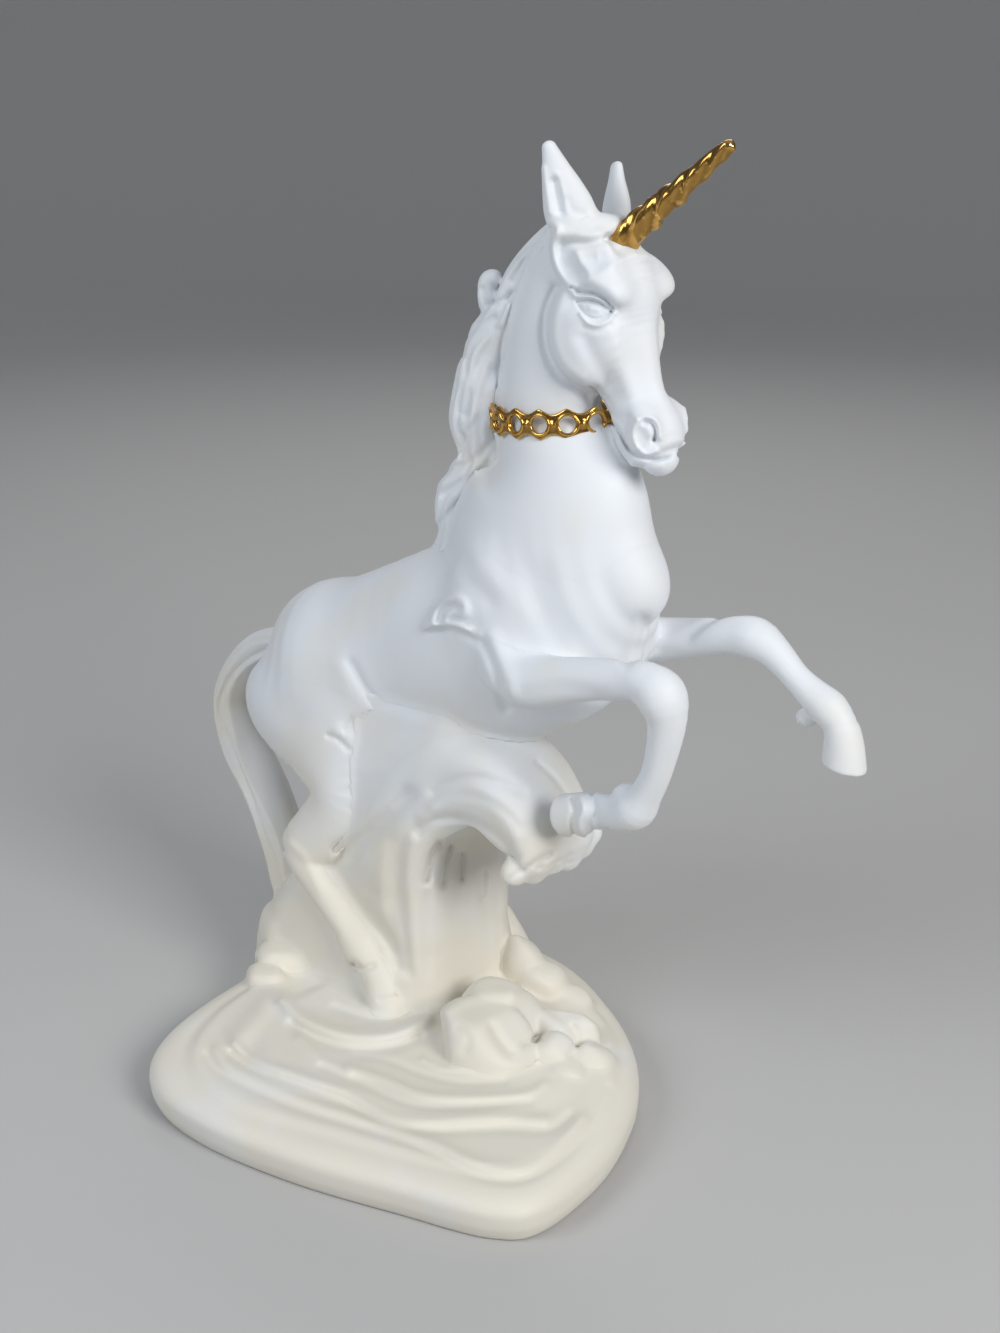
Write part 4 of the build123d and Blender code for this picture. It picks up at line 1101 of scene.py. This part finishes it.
def bisque(name, cool, warm, rough):
    """Unglazed cast porcelain with painted light, warm at the foot and cooler above, with grain,
    and with dust and painted shade in its hollows.
    """
    nodes = Nodes(name)
    place = nodes.add("TexCoord", {}, "Object")
    height = nodes.add("SeparateXYZ", {"Vector": place}, "Z")
    pointed = nodes.add("NewGeometry", {}, "Pointiness")
    cloud = nodes.noise(place, 28.0, 3.0)
    # painted light: a warm tint towards the foot and a cool one above, its edge broken up by soft
    # patches
    patches = nodes.ranged(cloud, 0.36, 0.70, -0.35, 0.45)
    painted_warm_light_share = nodes.math("ADD", nodes.ranged(height, 0.135, 0.045), patches, clamp=True)
    colour = nodes.mix(painted_warm_light_share, paint(cool), paint(warm))
    # dust and shade kept in the hollows of the sculpture
    hollow = nodes.math("MULTIPLY", nodes.ranged(pointed, 0.47, 0.40), 0.6)
    colour = nodes.mix(hollow, colour, paint((0.46, 0.45, 0.42)))
    # rare dark specks in the clay
    cells = nodes.add("TexVoronoi", {"Vector": place, "Scale": 46.0}, "Distance")
    few = nodes.ranged(nodes.noise(place, 17.0), 0.66, 0.68)
    specks = nodes.math("MULTIPLY", nodes.ranged(cells, 0.030, 0.016), few)
    colour = nodes.mix(specks, colour, paint((0.22, 0.20, 0.18)))
    # fine grain over a soft unevenness
    grain = nodes.bump(nodes.noise(place, 1400.0, 4.0), 0.12, 0.0001)
    uneven = nodes.bump(nodes.noise(place, 120.0), 0.10, 0.0006, Normal=grain)
    nodes.fill(nodes.shader, {
        "Base Color": colour, "Normal": uneven,
        "Roughness": nodes.ranged(cloud, low=rough - 0.06, high=rough + 0.08),
        "Specular IOR Level": 0.35, "Subsurface Weight": 0.12,
        "Subsurface Radius": (0.0022, 0.0018, 0.0014), "Subsurface Scale": 1.0})
    return nodes.material


def gold(name, colour, dark, rough):
    """Cast metal with a slightly uneven skin, and painted shade darkening its hollows."""
    nodes = Nodes(name)
    place = nodes.add("TexCoord", {}, "Object")
    # painted shade: the dark colour in the hollows, the lit colour on the ridges
    painted_lit_share = nodes.ranged(nodes.add("NewGeometry", {}, "Pointiness"), 0.46, 0.54)
    skin = nodes.noise(place, 420.0, 3.0)
    nodes.fill(nodes.shader, {
        "Base Color": nodes.mix(painted_lit_share, paint(dark), paint(colour)),
        "Normal": nodes.bump(skin, 0.25, 0.0004),
        "Roughness": nodes.ranged(skin, low=rough - 0.06, high=rough + 0.10),
        "Metallic": 1.0})
    return nodes.material


WHITE = bisque("bisque", (0.765, 0.80, 0.845), (0.765, 0.735, 0.655), 0.58)
GOLD = gold("gilding", (0.78, 0.47, 0.13), (0.16, 0.065, 0.01), 0.15)
WIRE = gold("brass_wire", (0.62, 0.46, 0.20), (0.36, 0.25, 0.10), 0.36)

# ---------------- assembly


def dress(piece, node, material):
    """Puts a piece in the place of the CAD node."""
    piece.data.materials.append(material)
    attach(piece, "root")
    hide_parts(node)


with ThreadPoolExecutor(4) as pool:
    meshes = dict(zip(LINES, pool.map(sculpt, LINES)))
for name, mesh in meshes.items():
    dress(quad_object("sculpt_" + name, *mesh), name, WHITE)

horn = make_horn()
links, rims = make_collar()
for piece, node in ((horn, "horn"), (links, "collar_band"), (rims, "collar_bezels")):
    dress(piece, node, GOLD)
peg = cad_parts["horn_peg"]
peg.data.materials.clear()
peg.data.materials.append(WIRE)

# ---------------- floor, lights and camera

FLOOR_FLAT, FLOOR_BEND, FLOOR_WALL = 1.5, 1.1, 3.0
FLOOR_AROUND, FLOOR_BENDS = 96, 14


def make_floor():
    """A round floor that curves up into a wall, so that no edge shows."""
    profile = [(FLOOR_FLAT + FLOOR_BEND * math.sin(a), FLOOR_BEND * (1 - math.cos(a)))
               for a in np.linspace(0, math.pi / 2, FLOOR_BENDS)]
    profile.append((FLOOR_FLAT + FLOOR_BEND, FLOOR_WALL))
    turns = [2 * math.pi * n / FLOOR_AROUND for n in range(FLOOR_AROUND)]
    points = [(r * math.cos(t), r * math.sin(t), h) for r, h in profile for t in turns]
    # the walls face inwards
    faces = [(a, d, c, b) for a, b, c, d in ring_faces(len(profile), FLOOR_AROUND)]
    return face_object("floor", points, [tuple(range(FLOOR_AROUND)), *faces])


paper = Nodes("floor")
paper.fill(paper.shader, {"Base Color": paint((0.50, 0.50, 0.50)), "Roughness": 0.9})
floor = make_floor()
floor.data.materials.append(paper.material)

world = bpy.data.worlds.new("studio")
bpy.context.scene.world = world
world.use_nodes = True
background = world.node_tree.nodes["Background"]
background.inputs["Color"].default_value = (0.93, 0.95, 1.0, 1)
background.inputs["Strength"].default_value = 0.37


def aimed(name, data, place, target):
    """A lamp or camera in the scene, turned to its target."""
    obj = bpy.data.objects.new(name, data)
    obj.location = place
    obj.rotation_euler = (Vector(target) - Vector(place)).to_track_quat("-Z", "Y").to_euler()
    bpy.context.scene.collection.objects.link(obj)
    return obj


def lamp(name, place, size, power, colour):
    data = bpy.data.lights.new(name, "AREA")
    data.shape, data.size, data.energy, data.color = "SQUARE", size, power, colour
    aimed(name, data, place, LAMP_TARGET)


LAMP_TARGET = (0.0, 0.0, 0.15)
lamp("key", (1.05, -0.20, 0.68), 0.50, 10.2, (1.0, 0.985, 0.96))
lamp("fill", (-0.28, -0.95, 0.76), 0.60, 5.6, (0.93, 0.965, 1.0))
lamp("back", (-0.6, 0.8, 0.9), 0.6, 2.8, (1.0, 0.99, 0.97))

SENSOR = 36.0
camera = bpy.data.cameras.new("camera")
camera.sensor_width = SENSOR
# the photograph is upright, so the sensor's longer side is the photograph's height
camera.lens = FOCAL_PIXELS / PHOTO_HEIGHT * SENSOR
camera.clip_start = 0.01
place, target = (CAMERA + SHIFT) * MM, (TARGET + SHIFT) * MM
bpy.context.scene.camera = aimed("camera", camera, place, target)
bpy.context.scene.view_settings.view_transform = "Standard"
